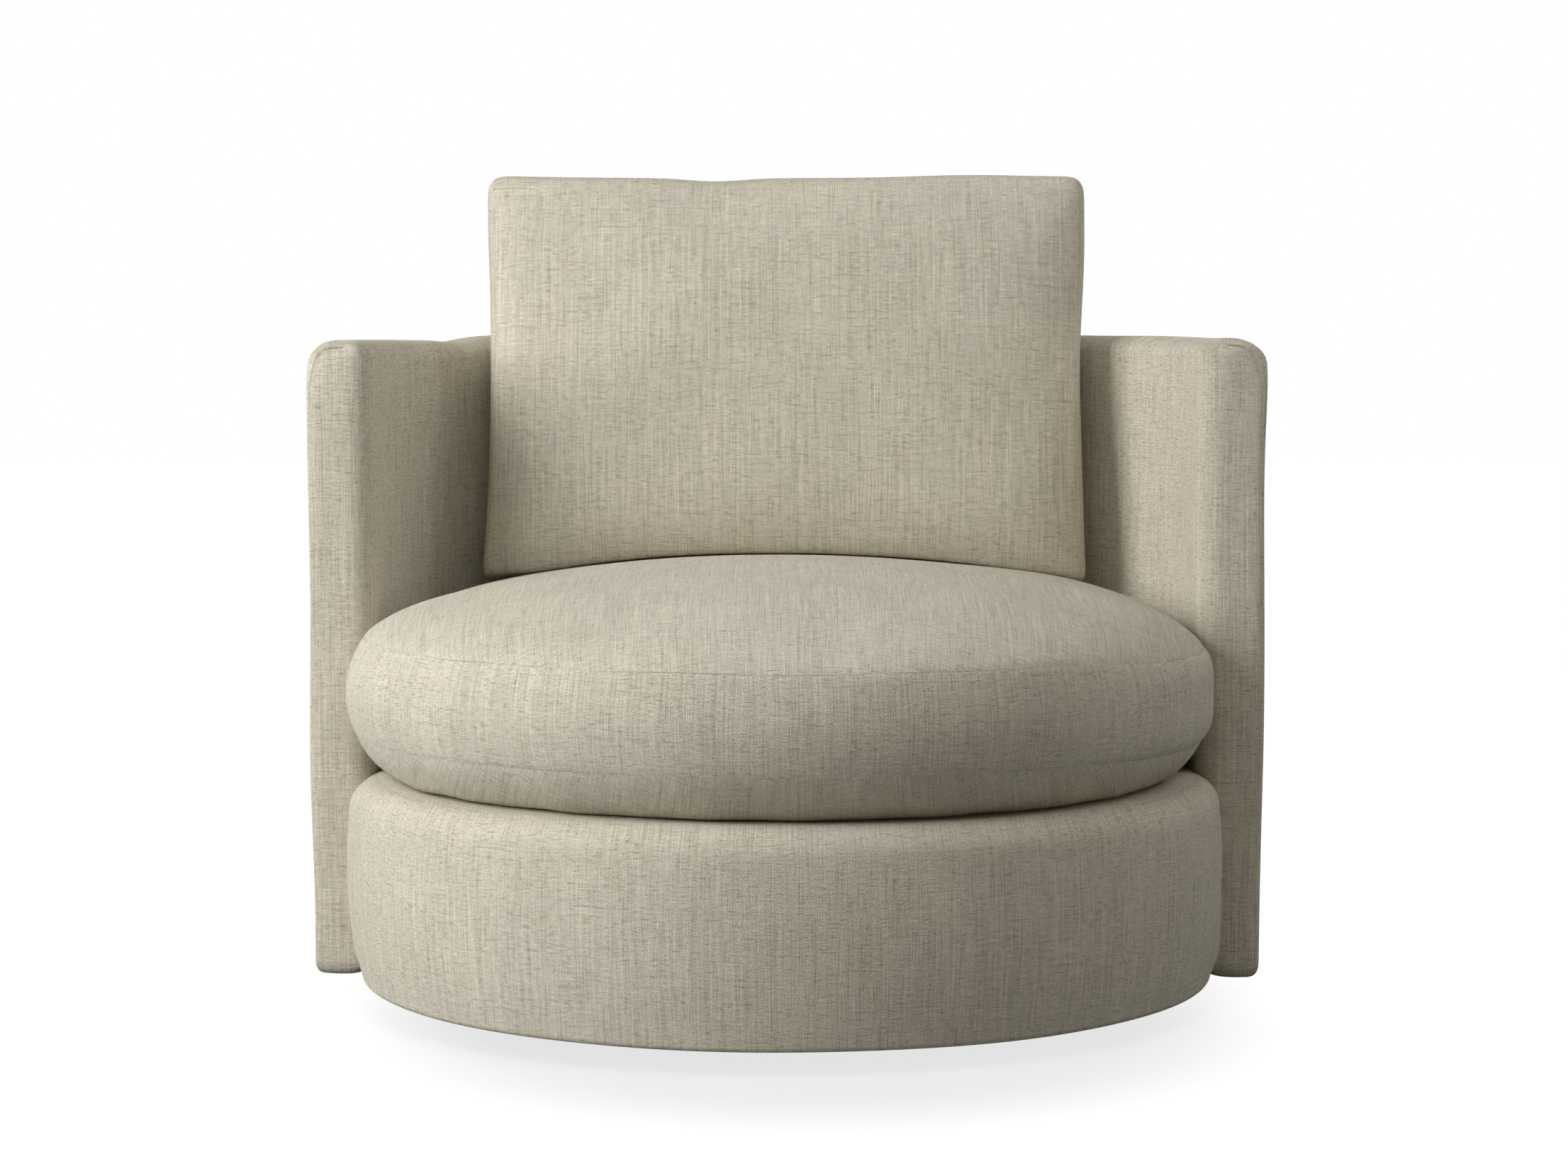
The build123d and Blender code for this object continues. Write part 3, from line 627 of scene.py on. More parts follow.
@dataclass(frozen=True)
class Linen:
    """Plain-weave linen-look cloth with slubby yarns."""

    slot: Slot = Slot.LINEN  # which finish it is
    yarn: float = 0.00105  # distance from one yarn to the next
    slub: float = 0.055  # length of a thick place in an upright yarn
    fleck: float = 0.010  # length of a dark place in a cross yarn
    # colours of the upright yarns, dull, plain and bright
    warp: tuple[Colour, ...] = ((0.640, 0.588, 0.472), (0.860, 0.805, 0.672), (0.960, 0.910, 0.780))
    warp_marks: Marks = (0.30, 0.48, 0.68)  # noise at which those colours stand
    # colours of the cross yarns, flecked, dull, plain and bright
    weft: tuple[Colour, ...] = (
        (0.260, 0.222, 0.162), (0.560, 0.504, 0.394), (0.750, 0.690, 0.556), (0.880, 0.820, 0.680)
    )
    weft_marks: Marks = (0.27, 0.36, 0.52, 0.72)  # the same for these
    apart: float = 7.13  # step in the noise from yarn to yarn
    bends: float = 18.0  # slow bends of the yarns to the metre
    sway: float = 0.004  # how far the yarns bend aside
    # upright streaks, cross bands and fine grain
    streaks: tuple[Streaks, ...] = (
        Streaks((760.0, 5.0), (0.86, 1.11)),
        Streaks((12.0, 700.0), (0.92, 1.06)),
        Streaks((800.0, 660.0), (0.76, 1.20), detail=1.0),
    )
    mottle: float = 11.0  # slow clouds of tone to the metre
    mottle_tone: Span = (0.965, 1.03)  # light on the darkest and the lightest cloud
    dive: float = 0.35  # share of its height that a yarn loses between two others
    weft_rise: float = 0.7  # height of the cross yarns, as a share of the upright ones
    hollow_painted_shade: float = 0.76  # painted shade: share of the colour kept in the gaps between the yarns
    crest_painted_light: float = 0.40  # painted light: how much lighter the yarns' crests are painted
    stitch_patches: float = 9.0  # stretches of seam to the metre that show their line
    stitch_span: Span = (0.38, 0.68)  # noise where a seam's line starts to show and is full
    stitch_dark: float = 0.34  # light that a seam's line takes
    stitch_line: Span = (0.0001, 0.0007)  # distances from a seam where its line is full and where it ends
    fold_painted_shade: float = 0.75  # painted shade: light that the bottom of a folded dart takes
    fuzz: float = 2600.0  # loose fibres to the metre
    fuzz_rise: float = 0.25  # height of the fibres, as a share of the yarns'
    relief: Span = (0.0005, 0.9)  # height of the yarns, and share of it that shows
    rough: Span = (0.98, 0.86)  # roughness in the gaps and on the crests
    gloss: float = 0.22  # strength of the shine
    sheen: float = 0.16  # how much the fibres catch the light at the edges
    sheen_rough: float = 0.45  # softness of that light

    def material(self) -> Material:
        """Makes the cloth: two sets of yarns, their flecks, the weave's relief, painted shade between the
        yarns and in the darts, and the seam lines.

        Returns:
            The material.
        """
        recipe = Recipe(self.slot.value)
        cloth = recipe.add("ShaderNodeUVMap", uv_map=WEAVE_MAP).outputs[0]
        woven, height = self.weave(recipe, cloth)
        # painted shade and light: the colour is darkened in the gaps between the yarns and lightened on
        # their crests
        crests = recipe.sums("MULTIPLY_ADD", height, self.crest_painted_light, self.hollow_painted_shade)
        # the yarns' own tone, times that painted shade, the seam lines and the darts' painted shade
        light = recipe.product(self.tone(recipe, cloth), crests, self.stitching(recipe))
        loose = recipe.stretched(cloth, (self.fuzz, self.fuzz, 0.0))
        fibres = recipe.noise(loose, detail=1.0, flat=True)
        relief = recipe.sums("MULTIPLY_ADD", fibres, self.fuzz_rise, height)
        recipe.raised(relief, *self.relief)
        return recipe.finish(
            recipe.shaded(woven, light),
            recipe.ranged(height, (0.0, 1.0), self.rough),
            Specular_IOR_Level=self.gloss, Sheen_Weight=self.sheen, Sheen_Roughness=self.sheen_rough,
        )

    def weave(self, recipe: Recipe, cloth: Socket) -> tuple[Socket, Socket]:
        """Yarns that go over and under each other.

        Args:
            recipe: The material.
            cloth: Place on the cloth.

        Returns:
            Colour of the yarn on top, and its height from 0 to 1.
        """
        wander = recipe.noise(cloth, self.bends, detail=1.0, flat=True).node.outputs[1]
        bent = recipe.vectors("ADD", cloth, recipe.stretched(wander, (self.sway, self.sway, 0.0)))
        warp, weft, _ = recipe.split(recipe.stretched(bent, (1.0 / self.yarn, 1.0 / self.yarn, 0.0)))
        warp_number = recipe.sums("FLOOR", warp)
        weft_number = recipe.sums("FLOOR", weft)
        over = recipe.sums("FLOORED_MODULO", recipe.sums("ADD", warp_number, weft_number), 2.0)
        warp_place = recipe.place(
            recipe.product(warp_number, self.apart),
            recipe.product(weft, self.yarn / self.slub),
        )
        weft_place = recipe.place(
            recipe.product(warp, self.yarn / self.fleck),
            recipe.product(weft_number, self.apart),
        )
        warp_tone = recipe.noise(warp_place, flat=True)
        weft_tone = recipe.noise(weft_place, flat=True)
        warp_colour = recipe.ramp(warp_tone, self.warp_marks, self.warp)
        weft_colour = recipe.ramp(weft_tone, self.weft_marks, self.weft)

        warp_round = self.rounded(recipe, warp)
        weft_round = self.rounded(recipe, weft)
        warp_height = recipe.product(warp_round, self.bowed(recipe, weft_round))
        weft_full = recipe.product(weft_round, self.bowed(recipe, warp_round))
        weft_height = recipe.product(weft_full, self.weft_rise)
        lift = recipe.sums("SUBTRACT", warp_height, weft_height)
        height = recipe.sums("MULTIPLY_ADD", lift, over, weft_height)
        return recipe.mixed(over, weft_colour, warp_colour), height

    def bowed(self, recipe: Recipe, crossed: Socket) -> Socket:
        """Share of its height that a yarn keeps along the way over another."""
        return recipe.sums("MULTIPLY_ADD", crossed, self.dive, 1.0 - self.dive)

    def tone(self, recipe: Recipe, cloth: Socket) -> Socket:
        """Light and dark streaks, bands, grain and clouds, multiplied together.

        Args:
            recipe: The material.
            cloth: Place on the cloth.

        Returns:
            Share of light.
        """
        tones = []
        for streaks in self.streaks:
            drawn = recipe.stretched(cloth, (*streaks.count, 0.0))
            cloud = recipe.noise(drawn, detail=streaks.detail, flat=True)
            tones.append(recipe.ranged(cloud, WIDE_NOISE_SPAN, streaks.tone))
        mottle = recipe.noise(recipe.here(), self.mottle, detail=3.0)
        return recipe.product(*tones, recipe.ranged(mottle, NOISE_SPAN, self.mottle_tone))

    def stitching(self, recipe: Recipe) -> Socket:
        """Thin seam lines that come and go, and painted shade in the bottoms of folded darts.

        Args:
            recipe: The material.

        Returns:
            Share of light.
        """
        distance = recipe.add("ShaderNodeAttribute", attribute_name=SEAM_LAYER).outputs["Fac"]
        patches = recipe.noise(recipe.here(), self.stitch_patches, detail=1.0)
        showing = recipe.ranged(patches, self.stitch_span, (0.0, self.stitch_dark))
        covered = recipe.ranged(distance, self.stitch_line, (1.0, 0.0))
        # painted shade in the bottom of a folded dart
        folded = recipe.ranged(distance, (-FOLD_HALF, 0.0), (self.fold_painted_shade, 0.0))
        line = recipe.sums("MAXIMUM", recipe.product(showing, covered), folded)
        return recipe.sums("SUBTRACT", 1.0, line)

    @staticmethod
    def rounded(recipe: Recipe, count: Socket) -> Socket:
        """Height across a yarn, 0 at its edges and 1 along its middle."""
        part = recipe.sums("FRACT", count)
        return recipe.sums("SINE", recipe.product(part, math.pi))


@dataclass(frozen=True)
class Timber:
    """Sawn or peeled wood with its grain."""

    slot: Slot  # which finish it is
    early: Colour  # colour between the grain lines
    late: Colour  # colour of the grain lines
    stretch: Place = (60.0, 5.0, 60.0)  # how far the grain is drawn out along each axis
    rough: float = 0.62  # roughness of the surface
    rough_spread: Span = (0.12, -0.05)  # how much rougher it is on the grain lines and between them
    marks: Marks = (0.32, 0.50, 0.68)  # noise on the grain lines, beside and between
    pore_finer: float = 9.0  # how much finer the pores are than the grain
    pore_span: Span = (0.30, 0.55)  # noise in a pore and beside it
    pore_tone: Span = (0.72, 1.04)  # light in a pore and beside it
    relief: Span = (0.0004, 0.35)  # height of the grain, and share of it that shows
    gloss: float = 0.35  # strength of the shine

    def material(self) -> Material:
        """Makes the wood: long grain, short pores and a dry surface.

        Returns:
            The material.
        """
        recipe = Recipe(self.slot.value)
        here = recipe.here()
        finer = tuple(self.pore_finer * part for part in self.stretch)
        grain = recipe.noise(recipe.stretched(here, self.stretch), detail=5.0)
        pores = recipe.noise(recipe.stretched(here, finer))
        colour = recipe.ramp(grain, self.marks, (self.late, self.early, self.early))
        toned = recipe.shaded(colour, recipe.ranged(pores, self.pore_span, self.pore_tone))
        recipe.raised(recipe.sums("ADD", grain, pores), *self.relief)
        rough = recipe.ranged(grain, NOISE_SPAN, tuple(self.rough + more for more in self.rough_spread))
        return recipe.finish(toned, rough, Specular_IOR_Level=self.gloss)


@dataclass(frozen=True)
class Steel:
    """Plated or polished steel."""

    slot: Slot  # which finish it is
    bright: Colour  # colour of the bright metal
    dull: Colour  # colour of its duller crystals
    rough: Span  # lowest and highest roughness
    crystal: float  # crystals to the metre
    crystal_span: Span = (0.2, 0.8)  # values of the crystals that are all bright and all dull
    smudge: float = 45.0  # handling marks to the metre
    scratch: Place = (90.0, 900.0, 500.0)  # scratches to the metre along each axis
    relief: Span = (0.00006, 0.3)  # depth of the scratches, and share of it that shows

    def material(self) -> Material:
        """Makes the metal: crystals of the plating, fine scratches and handling marks.

        Returns:
            The material.
        """
        recipe = Recipe(self.slot.value)
        here = recipe.here()
        spangle = recipe.add("ShaderNodeTexVoronoi")
        recipe.feed(spangle.inputs["Vector"], here)
        spangle.inputs["Scale"].default_value = self.crystal
        dullness = recipe.ranged(spangle.outputs["Color"], self.crystal_span, (0.0, 1.0))
        smudge = recipe.noise(here, self.smudge, detail=4.0)
        scratch = recipe.noise(recipe.stretched(here, self.scratch))
        recipe.raised(scratch, *self.relief)
        colour = recipe.mixed(dullness, self.bright, self.dull)
        return recipe.finish(colour, recipe.ranged(smudge, NOISE_SPAN, self.rough), Metallic=1.0)


@dataclass(frozen=True)
class Fibre:
    """Pressed, needled, moulded or non-woven stuff with a speckled surface."""

    slot: Slot  # which finish it is
    ground: Colour  # its main colour
    speck: Colour  # colour of its specks
    grain: float  # specks to the metre
    relief: float  # height of its surface, in metres
    rough: float = 0.9  # its roughness
    sheen: float = 0.0  # how much its fibres catch the light
    marks: Marks = (0.36, 0.56, 0.80)  # noise in a speck, beside it and far off
    finer: float = 4.0  # how much finer the small specks are
    cloud: float = 8.0  # slow clouds of tone to the metre
    cloud_tone: Span = (0.92, 1.06)  # light on the darkest and the lightest cloud
    smoother: float = 0.12  # how much smoother the raised places are
    relief_shown: float = 0.6  # share of the relief that shows
    gloss: float = 0.25  # strength of the shine

    def material(self) -> Material:
        """Makes the stuff: specks at two sizes, slow clouds of tone and a fine relief.

        Returns:
            The material.
        """
        recipe = Recipe(self.slot.value)
        here = recipe.here()
        coarse = recipe.noise(here, self.grain, detail=4.0)
        small = recipe.noise(here, self.finer * self.grain)
        cloud = recipe.noise(here, self.cloud)
        colour = recipe.ramp(coarse, self.marks, (self.speck, self.ground, self.ground))
        toned = recipe.shaded(colour, recipe.ranged(cloud, NOISE_SPAN, self.cloud_tone))
        recipe.raised(recipe.sums("ADD", coarse, small), self.relief, self.relief_shown)
        rough = recipe.ranged(small, NOISE_SPAN, (self.rough, self.rough - self.smoother))
        return recipe.finish(toned, rough, Specular_IOR_Level=self.gloss, Sheen_Weight=self.sheen)


@dataclass(frozen=True)
class Webbing:
    """Woven elastic strap."""

    slot: Slot = Slot.WEBBING  # which finish it is
    ground: Colour = (0.060, 0.054, 0.048)  # colour of the strap
    stripe: Colour = (0.130, 0.120, 0.105)  # colour of the threads that show across it
    rib: float = 0.003  # distance from one rib to the next
    wear: float = 220.0  # worn places to the metre
    relief: Span = (0.0003, 0.6)  # height of the ribs, and share of it that shows
    rough: Span = (0.9, 0.7)  # roughness of the fresh and of the worn places
    gloss: float = 0.3  # strength of the shine

    def material(self) -> Material:
        """Makes the strap: ribs both ways and worn threads.

        Returns:
            The material.
        """
        recipe = Recipe(self.slot.value)
        here = recipe.here()
        ribs = []
        for side in recipe.split(here)[:2]:
            turn = recipe.product(side, FULL_TURN / self.rib)
            ribs.append(recipe.sums("SINE", turn))
        weave = recipe.product(*ribs)
        worn = recipe.noise(here, self.wear, detail=3.0)
        share = recipe.product(recipe.ranged(weave, (-1.0, 1.0), (0.0, 1.0)), worn)
        recipe.raised(weave, *self.relief)
        colour = recipe.mixed(share, self.ground, self.stripe)
        rough = recipe.ranged(worn, NOISE_SPAN, self.rough)
        return recipe.finish(colour, rough, Specular_IOR_Level=self.gloss)


FINISHES = (
    Linen(),
    Fibre(Slot.FOAM, (0.79, 0.73, 0.54), (0.62, 0.55, 0.38), 420.0, 0.0006, 0.95),
    Fibre(Slot.FELT, (0.095, 0.090, 0.085), (0.045, 0.043, 0.040), 600.0, 0.0008, 0.98, 0.3),
    Timber(Slot.PLYWOOD, (0.62, 0.44, 0.25), (0.44, 0.28, 0.14)),
    Timber(Slot.HARDWOOD, (0.52, 0.34, 0.18), (0.36, 0.21, 0.10), (70.0, 70.0, 6.0)),
    Fibre(Slot.FIBREBOARD, (0.18, 0.105, 0.052), (0.11, 0.062, 0.030), 900.0, 0.0002, 0.6),
    Steel(Slot.ZINC_STEEL, (0.60, 0.61, 0.62), (0.47, 0.48, 0.50), (0.28, 0.46), 160.0),
    Steel(Slot.BEARING_STEEL, (0.74, 0.74, 0.76), (0.70, 0.70, 0.72), (0.07, 0.16), 400.0),
    Fibre(Slot.NYLON, (0.70, 0.68, 0.62), (0.63, 0.61, 0.55), 300.0, 0.0001, 0.5),
    Timber(Slot.STAINED_PLINTH, (0.016, 0.013, 0.011), (0.008, 0.006, 0.005), rough=0.55),
    Fibre(Slot.CAMBRIC, (0.022, 0.021, 0.021), (0.010, 0.010, 0.010), 1500.0, 0.0003, 0.95, 0.1),
    Webbing(),
)


# Upholstered tub


@dataclass(frozen=True)
class TubWall:
    """The tub's upholstered wall, a thick band bent round the seat with an arm at each end.

    Places on it are given as metres along the wall from the left arm's front, metres across it from
    its inside, and metres up from the floor.
    """

    outer_radius: float  # axis to the outside cover
    thickness: float  # finished thickness of the wall
    reach: float  # how far the arm fronts stand ahead of the axis
    hem: float  # floor to the covers' hem
    rim: float  # floor to the top of the wall
    deck_gap: float = 0.0003  # edge of the deck's cloth to the inside cover
    inner_round: float = 0.030  # round of the arm front's inner edge
    outer_edge: float = 0.009  # tight round of the arm front's outer edge
    seam_inset: float = 0.0055  # arm front's outer edge in to its upright seam
    rim_round: float = 0.020  # round of the top, in height
    rim_outer_round: Span = (0.030, 0.042)  # round of the top's outer edge, in width, left and right
    rim_outer_drop: float = 0.029  # round of the top's outer edge, in height
    rim_turn: Span = (0.3, 1.0)  # shares across the top where its round starts to grow and is full
    rim_fade: Span = (0.055, 0.012)  # distances under the rim where its rounds start and are full
    dart_round: float = 0.014  # round of the arm front's top edge at its outer end
    foot_round: float = 0.012  # round of the hem
    side_change: Span = (0.45, 0.55)  # shares of the length between which left becomes right
    lowest_inside: float = 0.205  # height below which the inside is hidden
    hem_return: float = 0.022  # width of cloth turned under the frame
    back_seam: float = 52.0  # degrees from straight behind to each upright seam
    # unevenness of the covers
    pull: HandWork = HandWork(0.0016, ((0.43, 0.39, 0.4), (0.27, 0.61, 2.1), (0.83, 0.30, 3.7)))
    pull_slant: float = 1.3  # how much the unevenness slants across the wall
    rim_flare: Span = (0.0012, 0.0032)  # how far the outside stands out under the rim, left and right
    rim_flare_place: Span = (0.04, 0.07)  # rim down to the middle of that place, and half its height
    foot_draw: Ease = Ease(0.0018, 0.30, 0.05)  # draw of the outside towards the foot
    right_swell: Swell = Swell(0.0035, 0.30, 0.16)  # fuller place low on the outside of the right arm
    rim_slow: Wave = Wave(0.0012, 0.52, 1.0)  # slow rise and fall of the padded rim
    rim_full: Ease = Ease(0.0034, 0.30, 0.39)  # fuller rim behind the left arm
    rim_dip: Swell = Swell(0.0020, 0.315, 0.026)  # dip where that fuller rim starts
    rim_soft: float = 0.12  # depth under the rim that moves with it
    hem_ripple: Wave = Wave(0.0005, 0.34)  # slight unevenness of the hem
    hem_calm: Span = (0.03, 0.10)  # distances from an arm's front where it starts and is full
    hem_soft: float = 0.05  # height over the hem that moves with it
    foot_sag: Place = (0.0010, 0.0035, 0.0032)  # sag of the arms' feet, and more right and in mid-wall
    foot_sag_reach: float = 0.05  # how far along the wall they sag
    dart: Span = (0.032, 0.056)  # start and end of the dart on an arm's top edge, across the wall
    dart_groove: Swell = Swell(0.0026, 0.0, 0.0019)  # groove of the dart
    pucker: Swell = Swell(0.0016, 0.0, 0.008)  # dip at the dart's inner end
    fold: Swell = Swell(0.0012, 0.0, 0.010)  # fold from the dart to the inside
    fold_place: Place = (0.004, 0.012, 0.016)  # arm's front, rim and inside to the middle of that fold
    rows: Place = (0.013, 0.008, 0.014)  # largest steps between rows along, across and up

    @classmethod
    def on_frame(cls) -> "TubWall":
        """Takes the wall's sizes from the frame's own covers.

        Returns:
            The wall.
        """
        outside_low, outside_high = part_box("outside_cover")
        inside_low, inside_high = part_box("inside_cover")
        deck_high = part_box("deck_cover")[1]
        return cls(
            outer_radius=outside_high.x,
            thickness=outside_high.x - deck_high.x - cls.deck_gap,
            reach=-inside_low.y,
            hem=outside_low.z,
            rim=inside_high.z,
        )

    @property
    def middle_radius(self) -> float:
        """Swivel axis to the middle of the wall."""
        return self.outer_radius - self.thickness / 2.0

    @property
    def length(self) -> float:
        """Length of the wall along its middle."""
        return 2.0 * self.reach + math.pi * self.middle_radius

    @property
    def inner_share(self) -> float:
        """Length of the wall along its inside, as a share of that along its middle."""
        return 1.0 - self.thickness / 2.0 / self.middle_radius

    def from_end(self, along: Grid) -> Grid:
        """Metres to the nearest arm's front."""
        return np.minimum(along, self.length - along)

    def right_side(self, along: Grid) -> Grid:
        """0 on the left half of the wall and 1 on the right."""
        return smooth(*self.side_change, along / self.length)

    def placed(self, along: Grid, across: Grid, up: Grid) -> Grid:
        """Points in the chair's frame.

        Args:
            along: Metres along the wall.
            across: Metres across the wall.
            up: Metres up.

        Returns:
            The points, in one more dimension.
        """
        run = along - self.reach
        bent = np.clip(run, 0.0, math.pi * self.middle_radius)
        turn = bent / self.middle_radius
        radius = self.middle_radius + across - self.thickness / 2.0
        ahead = np.abs(run - bent)
        return np.stack((-radius * np.cos(turn), radius * np.sin(turn) - ahead, up), axis=-1)

    def seam_distance(self, along: Grid, across: Grid, up: Grid) -> Grid:
        """Metres from a point of the wall to its nearest seam.

        Args:
            along: Metres along the wall.
            across: Metres across the wall.
            up: Metres up.

        Returns:
            The distances, less than 0 in the fold of a dart.
        """
        edge = self.thickness - across
        swing = math.radians(self.back_seam) * self.middle_radius
        front_seam = np.hypot(self.from_end(along), edge - self.seam_inset)
        rim_seam = np.hypot(edge, self.rim - up)
        dart_seam = self.dart_distance(along, across, up) - FOLD_HALF
        back_seams = np.hypot(np.abs(np.abs(along - self.length / 2.0) - swing), edge)
        return np.minimum.reduce([front_seam, rim_seam, dart_seam, back_seams])

    def dart_distance(self, along: Grid, across: Grid, up: Grid) -> Grid:
        """Metres from a point of the wall to the dart on its arm's top edge."""
        beside = np.maximum(self.dart[0] - across, 0.0) + np.maximum(across - self.dart[1], 0.0)
        return np.sqrt(self.from_end(along) ** 2 + (self.rim - up) ** 2 + beside**2)

    def dart_pull(self, along: Grid, across: Grid, up: Grid) -> Grid:
        """Groove and pucker of the dart on an arm's top edge, and the fold from it to the inside.

        Args:
            along: Metres along the wall.
            across: Metres across the wall.
            up: Metres up.

        Returns:
            Metres out of the plain cloth.
        """
        end = self.from_end(along)
        top = self.rim - up
        pucker = np.sqrt(end**2 + top**2 + (across - self.dart[0]) ** 2)
        offsets = np.stack((end, top, across), axis=-1) - np.array(self.fold_place)
        fold = np.linalg.norm(offsets, axis=-1)
        groove = self.dart_groove.at(self.dart_distance(along, across, up))
        return self.fold.at(fold) - self.pucker.at(pucker) - groove

    def flare(self, along: Grid, up: Grid) -> Grid:
        """How far the outside stands out: under the rim, at the foot, and low on the right.

        Args:
            along: Metres along the wall.
            up: Metres up.

        Returns:
            Metres to add across the wall.
        """
        right = self.right_side(along)
        drop, reach = self.rim_flare_place
        upper = between(*self.rim_flare, right) * hump(self.rim - drop, reach, up)
        return upper - self.foot_draw.at(up) + right * self.right_swell.at(up)

    def rim_wave(self, along: Grid) -> Grid:
        """Slow rise and fall of the padded rim, with one dip on the left."""
        return self.rim_slow.at(along) + self.rim_full.at(along) - self.rim_dip.at(along)

    def hem_wave(self, along: Grid, across: Grid) -> Grid:
        """Slight unevenness of the hem, and the sag of the arms' feet, most on the right.

        Args:
            along: Metres along the wall.
            across: Metres across the wall.

        Returns:
            Metres up.
        """
        end = self.from_end(along)
        ripple = self.hem_ripple.at(along + across) * smooth(*self.hem_calm, end)
        plain, right, middle = self.foot_sag
        sag = plain + right * self.right_side(along) + middle * np.sin(math.pi * across / self.thickness)
        return ripple - sag * hump(0.0, self.foot_sag_reach, end)

    def surface(self, along: Measure, across: Measure, up: Measure) -> tuple[Grid, Grid]:
        """Finished cloth for points of the plain, sharp-edged wall.

        Args:
            along: Metres along the wall.
            across: Metres across the wall.
            up: Metres up.

        Returns:
            Points in the chair's frame and their distances to the nearest seam.
        """
        along, across, up = np.broadcast_arrays(along, across, up)
        share = across / self.thickness
        near_top = smooth(self.rim - self.rim_fade[0], self.rim - self.rim_fade[1], up)
        rim_outer = between(*self.rim_outer_round, self.right_side(along))
        outer = between(self.outer_edge, rim_outer, near_top)
        top_round = between(self.rim_round, self.rim_outer_drop, smooth(*self.rim_turn, share))
        front = between(self.inner_round, between(self.outer_edge, self.dart_round, near_top), share)
        nearest, lean, radii = [], [], []
        for value, low, high, low_round, high_round in (
            (along, 0.0, self.length, front, front),
            (across, 0.0, self.thickness, self.inner_round, outer),
            (up, self.hem, self.rim, self.foot_round, top_round),
        ):
            inner = np.clip(value, low + low_round, high - high_round)
            offset = value - inner
            radius = np.where(offset < 0.0, low_round, high_round)
            nearest.append(inner)
            radii.append(radius)
            lean.append(offset / radius)
        direction = np.stack(lean) / np.sqrt(np.sum(np.square(lean), axis=0))
        seam = self.seam_distance(along, across, up)
        rise = self.pull.at(along + across, up + self.pull_slant * across) - PLAIN_SEAM.sink(seam)
        rise = rise + self.dart_pull(along, across, up)
        along_now, across_now, up_now = np.stack(nearest) + direction * (np.stack(radii) + rise)
        across_now = across_now + self.flare(along, up) * smooth(0.0, self.thickness, across)
        up_now = up_now + self.rim_wave(along) * smooth(self.rim - self.rim_soft, self.rim, up)
        up_now = up_now + self.hem_wave(along, across) * smooth(self.hem + self.hem_soft, self.hem, up)
        return self.placed(along_now, across_now, up_now), seam

    def row_places(self) -> tuple[Grid, Grid, Grid]:
        """Places of the rows of cloth along, across and up the wall."""
        ends = ((0.0, self.length), (0.0, self.thickness), (self.hem, self.rim))
        return tuple(spaced(*end, step) for end, step in zip(ends, self.rows))

    def patch(
        self, along: Measure, across: Measure, up: Measure, weave: Grid,
        keep: Grid | None = None, turned: bool = False,
    ) -> Patch:
        """A stretch of finished cloth for places of the plain wall."""
        points, seam = self.surface(along, across, up)
        return Patch(points, weave, seam, keep, turned)

    def inside_patches(self) -> list[Patch]:
        """Cloth of the inside cover: the inside, both arm fronts and the top.

        Returns:
            Its stretches.
        """
        along, across, up = self.row_places()
        run = along[:, None] * self.inner_share
        shown = np.broadcast_to(up[:-1] > self.lowest_inside, (len(along) - 1, len(up) - 1))
        inside = self.patch(along[:, None], 0.0, up, laid(run, up), keep=shown, turned=True)
        top = self.patch(along[:, None], across, self.rim, laid(run, self.rim + across), turned=True)
        fronts = []
        for end, sign in ((0.0, -1.0), (self.length, 1.0)):
            weave = laid(end * self.inner_share + sign * across, up[:, None])
            fronts.append(self.patch(end, across, up[:, None], weave, turned=sign < 0.0))
        return [inside, *fronts, top]

    def outside_patches(self) -> list[Patch]:
        """Cloth of the outside cover: the outside and the hem turned under the frame.

        Returns:
            Its stretches.
        """
        along, across, up = self.row_places()
        run = along[:, None]
        near_end = self.from_end(run)[:-1] < self.hem_return
        under = near_end | (across[:-1] > self.thickness - self.hem_return)
        return [
            self.patch(run, self.thickness, up, laid(run, up)),
            self.patch(run, across, self.hem, laid(run, self.hem - across), keep=under),
        ]

    def dress(self, dresser: "Dresser") -> None:
        """Sews both covers of the tub and hangs them on the frame.

        Args:
            dresser: Holds the finishes.
        """
        inside = sew("tub_inside", self.inside_patches())
        outside = sew("tub_outside", self.outside_patches())
        pads = ("inside_foam", "top_pad", "arm_pads")
        dresser.upholster(inside, Body.CHAIR, ("inside_cover", *pads))
        dresser.upholster(outside, Body.CHAIR, ("outside_cover", "outside_batting"))


# Drum under the seat


